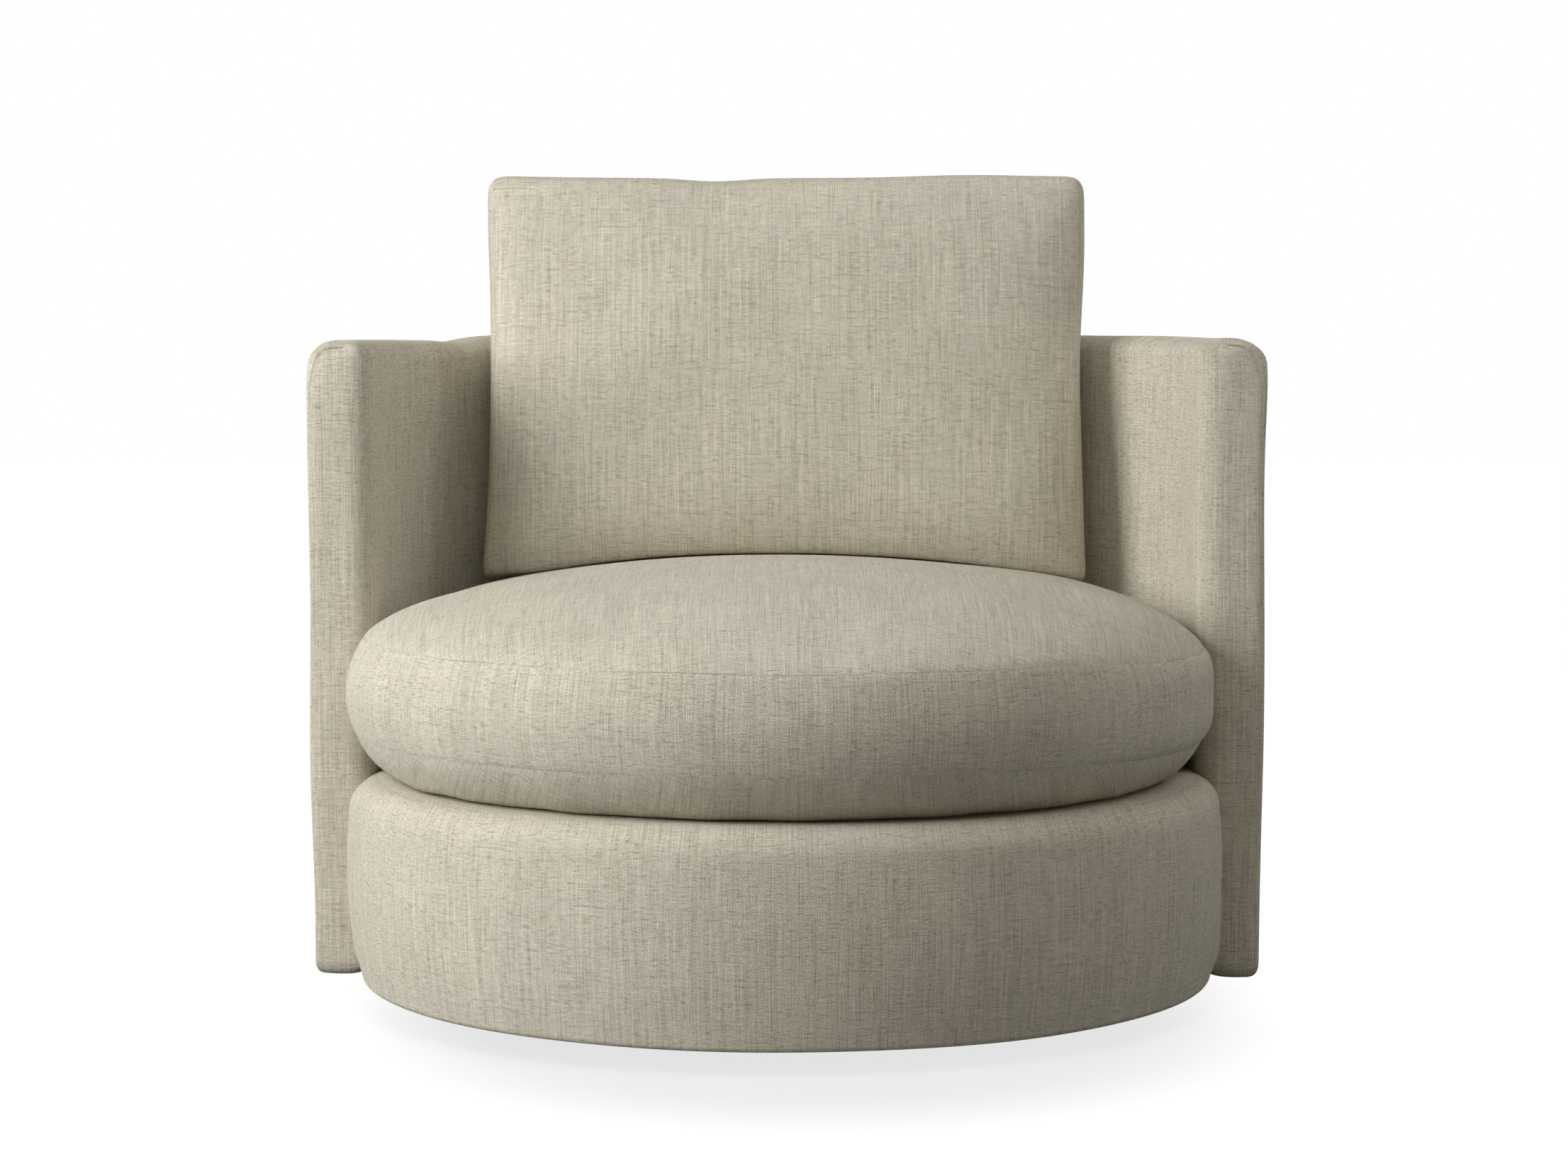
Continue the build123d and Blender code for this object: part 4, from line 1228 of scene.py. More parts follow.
@dataclass(frozen=True)
class Apron:
    """Padded cover round the drum's front, from one arm to the other."""

    hem: float  # floor to its hem
    top: float  # floor to its rolled top
    end: float  # ahead of the axis at which it meets the arms
    bulge_radius: float  # axis to its widest place
    arm_inside: float  # axis to the arms' insides
    arm_round: float  # round of the arm fronts' inner edges
    end_tuck: float = 0.002  # how far its ends run into the arms
    hem_drop: float = 0.002  # how far the cloth hangs below the frame's own hem
    bulge_height: float = 0.120  # floor to its widest place
    hem_draw: float = 0.012  # how much it is drawn in at the hem
    shoulder_draw: float = 0.003  # how much it is drawn in where the roll starts
    roll: float = 0.032  # round of its top
    hem_round: float = 0.007  # round of its hem
    end_round: float = 0.011  # round of its ends, against the arms
    end_turn: float = 0.999  # share of a quarter turn that it makes
    end_round_fade: Span = (-0.01, 0.03)  # heights over the hem where it starts and is full
    tuck: float = 0.034  # how far its cloth runs in under the cushion
    tuck_drop: Span = (0.0004, 0.0016)  # how far that cloth falls, halfway and at its edge
    hem_return: float = 0.022  # width of cloth turned under the frame
    hem_lift: float = 0.001  # how far the turned cloth rises to its edge
    # unevenness of the cover
    pull: HandWork = HandWork(0.0013, ((0.46, 0.31, 1.3), (0.29, 0.44, 0.2), (0.71, 0.23, 2.9)))
    pull_calm: float = 0.05  # distance from an end at which it is full
    roll_calm: Span = (0.006, 0.030)  # distances below the top where it starts and is full
    fold: Swell = Swell(0.006, 0.062, 0.016)  # soft fold near the right end, by its height
    fold_place: Span = (0.016, 0.012)  # right end to that fold, and half its width
    spread_reach: Span = (0.10, 0.012)  # distances from an end where the fuller form starts and is full
    spread_hem: Span = (0.004, 0.035)  # heights over the hem where it starts and is full
    spread_fade: float = 0.03  # height over the widest place where the right end's form is gone
    spread: Span = (0.0045, 0.0015)  # how much fuller the left and the right end lie
    hem_ripple: Wave = Wave(0.0003, 0.31)  # slight unevenness of the hem
    hem_soft: float = 0.04  # height over the hem that moves with it
    round_rows: int = 9  # rows of cloth round the hem and round the roll
    face_rows: int = 17  # rows of cloth up its face
    row_step: float = 0.013  # largest step between rows along it

    @classmethod
    def on_frame(cls) -> "Apron":
        """Takes the apron's sizes from the frame's own cover.

        Returns:
            The apron.
        """
        low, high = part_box("apron_cover")
        return cls(
            hem=low.z - cls.hem_drop,
            top=high.z,
            end=-high.y,
            bulge_radius=-low.y,
            arm_inside=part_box("deck_cover")[1].x,
            arm_round=TubWall.inner_round,
        )

    def profile(self) -> tuple[Grid, Grid]:
        """Profile of the cloth, from the hem turned under to the cloth under the cushion.

        Returns:
            Radius and height of its points.
        """
        shoulder = self.top - self.roll
        start = self.hem + self.hem_round
        heights = np.array([self.hem, self.bulge_height, shoulder])
        radii = self.bulge_radius - np.array([self.hem_draw, 0.0, self.shoulder_draw])
        side = np.polynomial.Polynomial.fit(heights, radii, 2)
        quarter = np.linspace(0.0, math.pi / 2.0, self.round_rows)
        foot = side(start) - self.hem_round
        face = np.linspace(start, shoulder, self.face_rows)[1:-1]
        lip = side(shoulder) - self.roll
        radius = np.concatenate([
            [foot - self.hem_return],
            foot + self.hem_round * np.sin(quarter),
            side(face),
            lip + self.roll * np.cos(quarter),
            [lip - self.tuck / 2.0, lip - self.tuck],
        ])
        height = np.concatenate([
            [self.hem + self.hem_lift],
            start - self.hem_round * np.cos(quarter),
            face,
            shoulder + self.roll * np.sin(quarter),
            [self.top - drop for drop in self.tuck_drop],
        ])
        return radius, height

    def dress(self, dresser: "Dresser") -> None:
        """Sews the apron's cover and hangs it on the drum.

        Args:
            dresser: Holds the finishes.
        """
        radius, height = self.profile()
        run = np.concatenate([[0.0], np.cumsum(np.hypot(np.diff(radius), np.diff(height)))])
        half = self.bulge_radius * math.acos(self.end / self.bulge_radius)
        along = spaced(-half, half, self.row_step)[:, None]
        full = radius + self.fullness(along, half, radius, height)
        turn = along / half * np.arccos(np.clip((self.end - self.arm_recess(full)) / full, -1.0, 1.0))
        wave = self.hem_ripple.at(along) * smooth(self.hem + self.hem_soft, self.hem, height)
        points = np.stack((full * np.sin(turn), -full * np.cos(turn), height + wave), axis=-1)
        plain = np.ones(points.shape[:2])
        piece = sew("apron", [Patch(points, laid(along, run), plain, turned=True)])
        dresser.upholster(piece, Body.CHAIR, ("apron_cover", "apron_foam"))

    def fullness(self, along: Grid, half: float, radius: Grid, height: Grid) -> Grid:
        """How far the cloth lies outside the plain profile.

        Args:
            along: Metres along the apron from its middle, one row for each.
            half: Middle to an end.
            radius: Swivel axis to the plain profile.
            height: Floor to the profile.

        Returns:
            Metres to add to the radius.
        """
        from_end = half - np.abs(along)
        corner = np.clip(1.0 - from_end / self.end_round, 0.0, 1.0)
        sunk = self.end_round * (1.0 - np.sqrt(1.0 - corner**2 * self.end_turn))
        low, high = self.end_round_fade
        rounded = sunk * smooth(self.hem + low, self.hem + high, height)
        inset, width = self.fold_place
        fold = self.fold.at(height) * hump(half - inset, width, along)
        rise = self.pull.at(along, height) * smooth(0.0, self.pull_calm, from_end)
        lying = smooth(self.top - self.roll_calm[0], self.top - self.roll_calm[1], height)
        spread = self.end_spread(along, from_end, radius, height)
        return (rise - fold) * lying - rounded + spread

    def end_spread(self, along: Grid, from_end: Grid, radius: Grid, height: Grid) -> Grid:
        """How much fuller the ends lie: all the way up on the left, near the hem on the right.

        Args:
            along: Metres along the apron from its middle.
            from_end: Metres to the nearest end.
            radius: Swivel axis to the plain profile.
            height: Floor to the profile.

        Returns:
            Metres to add to the radius.
        """
        low, high = self.spread_hem
        near = smooth(*self.spread_reach, from_end) * smooth(self.hem + low, self.hem + high, height)
        face = near * smooth(self.top, self.top - self.roll, height)
        lower = smooth(self.bulge_height + self.spread_fade, self.bulge_height, height)
        drawn = np.maximum(self.bulge_radius - radius, 0.0) * lower
        left, right = self.spread
        return np.where(along < 0.0, left, right + drawn) * face

    def arm_recess(self, radius: Grid) -> Grid:
        """How far the cloth runs on past its end, where an arm's front rounds away to the inside."""
        inset = np.clip(self.arm_inside + self.arm_round - radius, 0.0, self.arm_round)
        return self.arm_round + self.end_tuck - np.sqrt(self.arm_round**2 - inset**2)


def round_panel(sides: int, rings: Grid, core: float) -> list[Grid]:
    """A disc of radius 1 as a square middle and four fans of rings.

    Args:
        sides: Points along each side of the square.
        rings: Share of the way from the square to the rim at each ring.
        core: Half the side of the square.

    Returns:
        Grids of two numbers for each point.
    """
    ticks = np.linspace(-1.0, 1.0, sides)
    grids = [np.stack(np.meshgrid(core * ticks, core * ticks, indexing="ij"), axis=-1)]
    turns = ticks * math.pi / 4.0
    inner = np.stack((np.full(sides, core), core * ticks), axis=-1)
    outer = np.stack((np.cos(turns), np.sin(turns)), axis=-1)
    fan = between(inner[None], outer[None], rings[:, None, None])
    for quarter in range(4):
        angle = quarter * math.pi / 2.0
        spin = np.array([[math.cos(angle), math.sin(angle)], [-math.sin(angle), math.cos(angle)]])
        grids.append(fan @ spin)
    return grids


@dataclass(frozen=True)
class Deck:
    """Cloth-covered deck that the seat cushion lies on."""

    top: float  # floor to the deck
    front_radius: float  # axis to its edge, at the apron
    rear_radius: float  # axis to its edge, inside the tub
    front: float  # ahead of the axis where the apron begins
    front_blend: float = 0.02  # half the stretch where one becomes the other
    seam_line: float = 0.315  # ahead of the axis of the seam across its cloth
    seam_share: float = 0.6  # how deep that seam lies beside those of the covers
    clearance: float = 0.0004  # cushion down to the cloth
    edge_drop: Ease = Ease(0.0012, 0.93, 1.0)  # fall of the cloth near its edge, by share of the way out
    sides: int = 33  # points along each side of its square middle
    rings: int = 14  # rings of points round that middle
    core: float = 0.5  # half the side of the square middle, as a share of the radius

    @classmethod
    def on_frame(cls) -> "Deck":
        """Takes the deck's sizes from the frame's own cover."""
        low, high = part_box("deck_cover")
        return cls(top=high.z, front_radius=-low.y, rear_radius=high.y, front=-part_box("apron_cover")[1].y)

    def dress(self, dresser: "Dresser") -> None:
        """Sews the deck's cloth and lays it on its pad.

        Args:
            dresser: Holds the finishes.
        """
        patches = []
        for grid in round_panel(self.sides, np.linspace(0.0, 1.0, self.rings), self.core):
            ahead = -grid[..., 1] * self.rear_radius
            at_front = smooth(self.front - self.front_blend, self.front + self.front_blend, ahead)
            flat = grid * between(self.rear_radius, self.front_radius, at_front)[..., None]
            seam = np.abs(flat[..., 1] + self.seam_line)
            drop = self.clearance + self.edge_drop.at(np.linalg.norm(grid, axis=-1))
            drop = drop + PLAIN_SEAM.sink(seam) * self.seam_share
            points = np.concatenate([flat, (self.top - drop)[..., None]], axis=-1)
            patches.append(Patch(points, flat, seam))
        piece = sew("seat_deck", patches)
        dresser.upholster(piece, Body.CHAIR, ("deck_cover", "deck_pad"))


@dataclass(frozen=True)
class DustCover:
    """Black cloth tacked under the frame, open round the swivel plinth."""

    height: float  # floor to the cloth
    front_radius: float  # axis to its edge at the front
    rear_radius: float  # axis to its edge at the back
    front: float  # ahead of the axis where the drum's front begins
    front_blend: float = 0.01  # half the stretch where one becomes the other
    opening: float = 0.228  # radius of the hole round the bearing
    sag: float = 0.0012  # how far it hangs between its tacks
    tacks: int = 48  # how many tacks hold it
    tack_share: float = 0.3  # share of the sag that the tacks take up
    spokes: int = 193  # rows of points round it
    rings: int = 25  # rows of points from the opening to its edge

    @classmethod
    def on_frame(cls) -> "DustCover":
        """Takes the cloth's sizes from the frame's own dust cover."""
        low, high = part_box("dust_cover")
        return cls(low.z, -low.y, high.y, -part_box("apron_cover")[1].y)

    def dress(self, dresser: "Dresser") -> None:
        """Cuts the cloth and tacks it under the frame.

        Args:
            dresser: Holds the finishes.
        """
        turn = np.linspace(0.0, FULL_TURN, self.spokes)[:, None]
        share = np.linspace(0.0, 1.0, self.rings)[None, :]
        ahead = -np.sin(turn) * self.rear_radius
        at_front = smooth(self.front - self.front_blend, self.front + self.front_blend, ahead)
        rim = between(self.rear_radius, self.front_radius, at_front)
        radius = between(self.opening, rim, share)
        held = self.tack_share * (0.5 - 0.5 * np.cos(self.tacks * turn))
        hang = self.sag * np.sin(math.pi * share) * (1.0 - held)
        flat = laid(radius * np.cos(turn), radius * np.sin(turn))
        points = np.concatenate([flat, (self.height - hang)[..., None]], axis=-1)
        piece = sew("dust_cloth", [Patch(points, flat, np.ones(flat.shape[:2]), turned=True)])
        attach(piece, Body.CHAIR.value)
        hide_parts("dust_cover")
        dresser.paint(piece, Slot.CAMBRIC)
        LOG.info("%s: %d faces", piece.name, len(piece.data.polygons))


# Loose cushions


@dataclass(frozen=True)
class Dome:
    """Part of a half ellipse that meets its edge on a slant."""

    spare: float  # how much wider than the edge the whole ellipse is, as a share
    steps: int = 160  # points at which its cloth is measured

    def rise(self, share: Grid) -> Grid:
        """Height at a share of the way out, 1 in the middle and 0 at the edge."""
        edge = math.sqrt(1.0 - (1.0 + self.spare) ** -2)
        return (np.sqrt(1.0 - (share / (1.0 + self.spare)) ** 2) - edge) / (1.0 - edge)

    def cloth(self, share: Grid, width: float, height: float) -> Grid:
        """Length of cloth from the middle out.

        Args:
            share: Share of the way out.
            width: Middle to edge.
            height: Height of the middle over the edge.

        Returns:
            The length at each share.
        """
        steps = np.linspace(0.0, 1.0, self.steps)
        parts = np.hypot(np.diff(steps) * width, np.diff(self.rise(steps)) * height)
        return np.interp(share, steps, np.concatenate([[0.0], np.cumsum(parts)]))


@dataclass(frozen=True)
class SeatEdge:
    """The seat cushion's edge at given angles, or how much one side of it differs."""

    top_radius: Measure = 0.0  # axis to the upper seam
    low_radius: Measure = 0.0  # axis to the lower seam
    flat_radius: Measure = 0.0  # axis to where the belly meets the deck
    top_height: Measure = 0.0  # floor to the upper seam
    low_height: Measure = 0.0  # floor to the lower seam
    bulge: Measure = 0.0  # how far the boxing stands out past its seams
    squareness: Measure = 0.0  # power of the bulge's curve, 2 for a round one

    def changed(self, change: "SeatEdge", share: Grid) -> "SeatEdge":
        """The edge with a share of a change added to it."""
        values = {label: value + share * getattr(change, label) for label, value in vars(self).items()}
        return SeatEdge(**values)


@dataclass(frozen=True)
class SeatCushion:
    """Round boxed seat cushion with a high crown, drawn in behind where the tub holds it."""

    deck: float  # floor to the cushion's underside
    crown: float  # floor to the top of the crown
    front_radius: float  # axis to the middle of the boxing at the front
    rear_radius: float  # axis to its back, inside the tub
    arm_front: float  # ahead of the axis of the arm fronts
    free_span: Span = (-0.020, 0.022)  # places past the arm fronts where the edge comes free
    bulge: float = 0.0095  # how far the boxing stands out past its seams
    held_bulge: float = 0.30  # share of that inside the tub
    lower_seam: float = 0.047  # underside up to the lower seam
    boxing: float = 0.101  # height of the boxing
    belly_width: float = 0.062  # lower seam in to the flat that lies on the deck, at the front
    rear_belly_width: float = 0.035  # the same, inside the tub
    # unevenness of the belly's edge, by angle
    belly_waves: tuple[Wave, ...] = (Wave(0.003, FULL_TURN / 21.0), Wave(0.002, FULL_TURN / 34.0, 1.0))
    side_turn: Span = (0.55, 1.25)  # angles where a side's own form starts and is full
    # how the left side differs: full and round
    left: SeatEdge = SeatEdge(top_radius=-0.0035, low_radius=0.0055, flat_radius=0.012, bulge=0.0045)
    # how the right side differs: squarer, and drawn in below
    right: SeatEdge = SeatEdge(
        top_radius=-0.0090, low_radius=-0.0095, top_height=-0.011, low_height=-0.006,
        bulge=0.0015, squareness=2.5,
    )
    settle: float = 0.0055  # how far the crown has settled in use
    top: Dome = Dome(0.008)  # form of the top panel
    belly: Dome = Dome(0.35)  # form of the underside's edge
    filling: Filling = Filling()  # how it is stuffed
    # unevenness of the top
    pull: HandWork = HandWork(0.0022, ((0.37, 0.52, 0.9), (0.24, 0.33, 2.4), (0.61, 0.27, 4.0)))
    pull_calm: float = 0.8  # share of the way out at which it starts to fade
    zip_turn: float = 2.1  # angle from straight ahead past which the boxing has its zip
    held_height: float = 0.004  # height over the deck up to which the cloth lies still
    sides: int = 49  # points along each side of the panels' square middle
    core: float = 0.45  # half the side of that middle, as a share of the radius
    plain_rings: int = 19  # rings of points outside it
    edge_rings: Marks = (0.93, 0.955, 0.974, 0.989, 1.0)  # the last of these, then close ones
    boxing_step: float = 0.011  # largest step between rows on the boxing

    @classmethod
    def on_frame(cls) -> "SeatCushion":
        """Takes the cushion's sizes from the frame's own cover."""
        low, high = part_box("seat_cushion_cover")
        return cls(low.z, high.z - cls.settle, -low.y, high.y, -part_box("inside_cover")[0].y)

    def edge(self, turn: Grid) -> SeatEdge:
        """Form of the edge.

        Args:
            turn: Angle from straight ahead, rising to the right.

        Returns:
            The edge at each angle.
        """
        ahead = np.cos(turn) * self.front_radius
        free = smooth(self.arm_front + self.free_span[0], self.arm_front + self.free_span[1], ahead)
        bulge = self.bulge * between(self.held_bulge, 1.0, free)
        seam = between(self.rear_radius, self.front_radius, free) - bulge
        wander = sum(wave.at(turn) for wave in self.belly_waves)
        low_height = self.deck + self.lower_seam
        edge = SeatEdge(
            top_radius=seam,
            low_radius=seam,
            flat_radius=seam - between(self.rear_belly_width, self.belly_width, free) + free * wander,
            top_height=low_height + self.boxing,
            low_height=low_height,
            bulge=bulge,
            squareness=2.0,
        )
        for side, sign in ((self.left, -1.0), (self.right, 1.0)):
            start, full = (sign * angle for angle in self.side_turn)
            edge = edge.changed(side, smooth(start, full, turn) * free)
        return edge

    def panel(self, grid: Grid, upper: bool) -> Patch:
        """One stretch of the top or underside.

        Args:
            grid: Its points on a disc of radius 1.
            upper: True for the top.

        Returns:
            The stretch of cloth.
        """
        share = np.linalg.norm(grid, axis=-1)
        edge = self.edge(np.arctan2(grid[..., 0], -grid[..., 1]))
        if upper:
            radius = share * edge.top_radius
            uneven = self.pull.at(grid[..., 0] * radius, grid[..., 1] * radius)
            height = between(edge.top_height, self.crown, self.top.rise(share))
            height = height + uneven * smooth(1.0, self.pull_calm, share)
            rise = self.crown - self.deck - self.lower_seam - self.boxing
            run = self.top.cloth(share, self.front_radius, rise)
            near = edge.top_radius - radius
        else:
            radius = share * edge.low_radius
            past = np.clip((radius - edge.flat_radius) / (edge.low_radius - edge.flat_radius), 0.0, 1.0)
            height = between(edge.low_height, self.deck, self.belly.rise(past))
            run = np.minimum(radius, edge.flat_radius)
            run = run + self.belly.cloth(past, self.belly_width, self.lower_seam)
            near = edge.low_radius - radius
        direction = grid / np.maximum(share, TINY)[..., None]
        points = np.concatenate([direction * radius[..., None], height[..., None]], axis=-1)
        return Patch(points, direction * run[..., None], near)

    def boxing_patches(self) -> list[Patch]:
        """The boxing as four strips, with a zip behind.

        Returns:
            The strips.
        """
        rows = spaced(0.0, self.boxing, self.boxing_step, BOXING_ROWS)[:, None]
        share = rows / self.boxing
        strips = []
        for quarter in range(4):
            spoke = np.linspace(-1.0, 1.0, self.sides)[None, :] * math.pi / 4.0 + quarter * math.pi / 2.0
            turn = np.arctan2(np.cos(spoke), -np.sin(spoke))
            edge = self.edge(turn)
            out = 1.0 - np.abs(2.0 * share - 1.0) ** edge.squareness
            radius = between(edge.low_radius, edge.top_radius, share) + edge.bulge * out
            height = between(edge.low_height, edge.top_height, share)
            points = np.stack((radius * np.cos(spoke), radius * np.sin(spoke), height), axis=-1)
            near = np.minimum(rows, self.boxing - rows)
            zip_line = np.where(np.abs(turn) > self.zip_turn, np.abs(rows - self.boxing / 2.0), 1.0)
            strips.append(Patch(points, laid(spoke * self.front_radius, rows), np.minimum(near, zip_line)))
        return strips

    def dress(self, dresser: "Dresser") -> None:
        """Sews the cushion, fills it and lays it on the deck.

        Args:
            dresser: Holds the finishes.
        """
        plain = np.linspace(0.0, self.edge_rings[0], self.plain_rings)
        grids = round_panel(self.sides, np.concatenate([plain, self.edge_rings[1:]]), self.core)
        patches = [self.panel(grid, upper) for upper in (True, False) for grid in grids]
        patches += self.boxing_patches()
        piece = sew("seat_cushion", patches, closed=True)
        self.filling.stuff(piece, held_below=self.deck + self.held_height)
        dresser.upholster(piece, Body.SEAT, ("seat_cushion_cover", "seat_cushion_core"))


@dataclass(frozen=True)
class Arch:
    """Curve of a stuffed face, 1 in the middle and 0 at both ends."""

    power: float  # how flat its middle is
    shape: float  # how steep its ends are, less for steeper ones

    def rise(self, share: Grid) -> Grid:
        """Height at a place from -1 to 1."""
        return (1.0 - np.abs(share) ** self.power) ** self.shape


@dataclass(frozen=True)
class BackCushion:
    """Boxed back cushion that leans on the tub and stands on the seat.

    Places on it are shares across and up, from -1 to 1, or metres from its middle.
    """

    centre: Vector  # middle of the cushion
    width: float  # its whole width
    height: float = 0.446  # its whole height, along its lean
    lean: float = 8.0  # degrees from upright
    boxing: float = 0.080  # width of the boxing
    crown: float = 0.052  # how far each face stands out past its seam
    arch: Arch = Arch(2.9, 0.62)  # curve of the faces
    low_arch: Arch = Arch(8.0, 0.45)  # curve of their lower half
    bulge: float = 0.007  # how far the boxing stands out past its seams
    corner: float = 0.013  # round of its corners
    side_draw: float = 0.004  # how far the sides pull in between the corners
    plump: float = 0.009  # how far the filled sides stand past the plain cushion
    top_plump: float = 1.1  # the same at the top, as a share of that at the sides
    stand_span: Span = (0.3, 0.95)  # how far down an edge faces where it starts to rest and all does
    stand_press: float = 0.9  # share of the boxing's bulge that is pressed flat there
    bottom_draw: float = 0.036  # hollow of the lower edge over the seat's crown
    bottom_power: float = 2.6  # power of that hollow's curve
    bottom_drop: float = 0.0205  # how far that edge sinks on to the seat
    # how far the lower corners are lifted, left and right
    bottom_corners: tuple[Swell, ...] = (Swell(0.0105, -1.0, 0.13), Swell(0.0070, 1.0, 0.18))
    bottom_sag: Ease = Ease(0.0014, 0.05, 0.35)  # sag of the lower edge right of the middle
    # where the left side is fuller
    left_swells: tuple[Swell, ...] = (Swell(0.0015, 0.72, 0.25), Swell(0.0035, -1.0, 0.4))
    # where the right side is fuller and where it is slack
    right_swells: tuple[Swell, ...] = (Swell(0.0025, 0.62, 0.30), Swell(-0.0015, 0.05, 0.3))
    # dip of the top edge left of the middle and rise on the right
    top_swells: tuple[Swell, ...] = (Swell(-0.0038, -0.24, 0.13), Swell(0.0030, 0.62, 0.26))
    lip: float = 0.0055  # how far the face hangs below its lower seam
    lip_span: Span = (-0.86, -0.98)  # places up where this starts and is full
    lip_gain: float = 3.0  # how soon it comes in from the sides
    filling: Filling = Filling()  # how it is stuffed
    # unevenness of the faces
    pull: HandWork = HandWork(0.0030, ((0.31, 0.27, 0.5), (0.19, 0.36, 2.0), (0.47, 0.21, 3.6)))
    pull_gain: float = 4.0  # how soon the unevenness comes in from the edges
    back_shift: float = 0.3  # step in the unevenness from the face's middle to the back's
    edge_rows: Marks = (0.0, 0.010, 0.028, 0.055)  # close rows, as shares of half the width
    edge_rows_up: float = 1.45  # how much wider apart they are up the cushion
    steps: Span = (0.036, 0.052)  # largest steps between rows across and up, as shares
    boxing_step: float = 0.013  # largest step between rows on the boxing

    @classmethod
    def on_frame(cls) -> "BackCushion":
        """Takes the cushion's place and width from the frame's own cover."""
        low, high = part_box("back_cushion_cover")
        return cls(centre=(low + high) / 2.0, width=high.x - low.x)

    def outline(self, grid: Grid, past: Measure) -> Grid:
        """Points of the outline for points of a square.

        Args:
            grid: Points of a square whose half side is 1.
            past: How far the outline is pushed out past the seam.

        Returns:
            Metres across and up the cushion, from its middle.
        """
        half = np.array([self.width / 2.0 - self.bulge, self.height / 2.0 - self.bulge])
        spread = grid * half
        core = np.clip(spread, self.corner - half, half - self.corner)
        lean = (spread - core) / self.corner
        longest = np.max(np.abs(lean), axis=-1, keepdims=True)
        facing = lean / np.maximum(np.linalg.norm(lean, axis=-1, keepdims=True), TINY)
        stood_on = self.stand_press * smooth(*self.stand_span, -facing[..., 1:])
        pushed = np.asarray(past)[..., None] * smooth(0.0, 1.0, longest) * (1.0 - stood_on)
        rounded = core + (self.corner * longest + pushed) * facing
        across, up = rounded[..., 0], rounded[..., 1]
        side, level = across / half[0], up / half[1]
        top = smooth(-1.0, 1.0, level)
        fuller = self.plump - self.side_draw * (1.0 - level**2)
        drawn = across + side * fuller + self.side_wave(side, level)
        raised = up + (self.top_plump * self.plump + heaped(self.top_swells, side)) * top
        return np.stack((drawn, raised + self.hollow(side) * (1.0 - top)), axis=-1)

    def hollow(self, side: Grid) -> Grid:
        """Rise of the lower edge over the seat's crown, with its corners and its sag."""
        plain = self.bottom_draw * (1.0 - np.abs(side) ** self.bottom_power) - self.bottom_drop
        return plain + heaped(self.bottom_corners, side) - self.bottom_sag.at(side)

    def side_wave(self, side: Grid, level: Grid) -> Grid:
        """Slow curve of the sides: full near the top, slack above the seat."""
        left = np.clip(-side, 0.0, 1.0) * heaped(self.left_swells, level)
        return np.clip(side, 0.0, 1.0) * heaped(self.right_swells, level) - left

    def placed(self, flat: Grid, out: Grid) -> Grid:
        """Points in the chair's frame.

        Args:
            flat: Metres across and up the cushion.
            out: Metres out of its middle plane, towards the front.

        Returns:
            The points.
        """
        lean = math.radians(self.lean)
        depth = self.centre.y + flat[..., 1] * math.sin(lean) - out * math.cos(lean)
        height = self.centre.z + flat[..., 1] * math.cos(lean) + out * math.sin(lean)
        return np.stack((self.centre.x + flat[..., 0], depth, height), axis=-1)

    def panel(self, columns: Grid, rows: Grid, face: float) -> Patch:
        """The cushion's face or its back.

        Args:
            columns: Places across, from -1 to 1.
            rows: Places up, from -1 to 1.
            face: 1 for the face, -1 for the back.

        Returns:
            The panel.
        """
        grid = np.stack(np.meshgrid(columns, rows, indexing="ij"), axis=-1)
        across, up = grid[..., 0], grid[..., 1]
        rise = self.arch.rise(across) * np.where(up < 0.0, self.low_arch.rise(up), self.arch.rise(up))
        flat = self.outline(grid, 0.0)
        if face > 0.0:
            flat[..., 1] -= self.lip * smooth(*self.lip_span, up) * np.clip(self.lip_gain * rise, 0.0, 1.0)
        uneven = self.pull.at(flat[..., 0] + self.back_shift * face, flat[..., 1])
        out = self.boxing / 2.0 + self.crown * rise + uneven * np.clip(self.pull_gain * rise, 0.0, 1.0)
        half = np.array([self.width, self.height]) / 2.0
        seam = np.min((1.0 - np.abs(grid)) * half, axis=-1)
        return Patch(self.placed(flat, face * out), flat, seam)

    def boxing_patches(self, columns: Grid, rows: Grid) -> list[Patch]:
        """The boxing as four strips, one for each side.

        Args:
            columns: Places across, from -1 to 1.
            rows: Places up, from -1 to 1.

        Returns:
            The strips.
        """
        depth = spaced(-self.boxing / 2.0, self.boxing / 2.0, self.boxing_step, BOXING_ROWS)
        past = self.bulge * (1.0 - (2.0 * depth / self.boxing) ** 2)
        strips = []
        for along, fixed, axis in ((rows, -1.0, 0), (rows, 1.0, 0), (columns, -1.0, 1), (columns, 1.0, 1)):
            other = np.full_like(along, fixed)
            rim = np.stack((other, along) if axis == 0 else (along, other), axis=-1)
            grid = np.broadcast_to(rim[:, None, :], (len(along), len(depth), 2))
            flat = self.outline(grid, np.broadcast_to(past[None, :], grid.shape[:2]))
            out = np.broadcast_to(depth[None, :], grid.shape[:2])
            weave = laid(out, flat[..., 1]) if axis == 0 else laid(flat[..., 0], out)
            strips.append(Patch(self.placed(flat, out), weave, self.boxing / 2.0 - np.abs(out)))
        return strips

    def dress(self, dresser: "Dresser") -> None:
        """Sews the cushion, fills it and stands it on the seat.

        Args:
            dresser: Holds the finishes.
        """
        columns = spaced(-1.0, 1.0, self.steps[0], self.edge_rows)
        fine_rows = tuple(self.edge_rows_up * place for place in self.edge_rows)
        rows = spaced(-1.0, 1.0, self.steps[1], fine_rows)
        patches = [self.panel(columns, rows, face) for face in (1.0, -1.0)]
        patches += self.boxing_patches(columns, rows)
        piece = sew("back_cushion", patches, closed=True)
        self.filling.stuff(piece)
        dresser.upholster(piece, Body.BACK, ("back_cushion_cover", "back_cushion_insert"))


# Putting it together


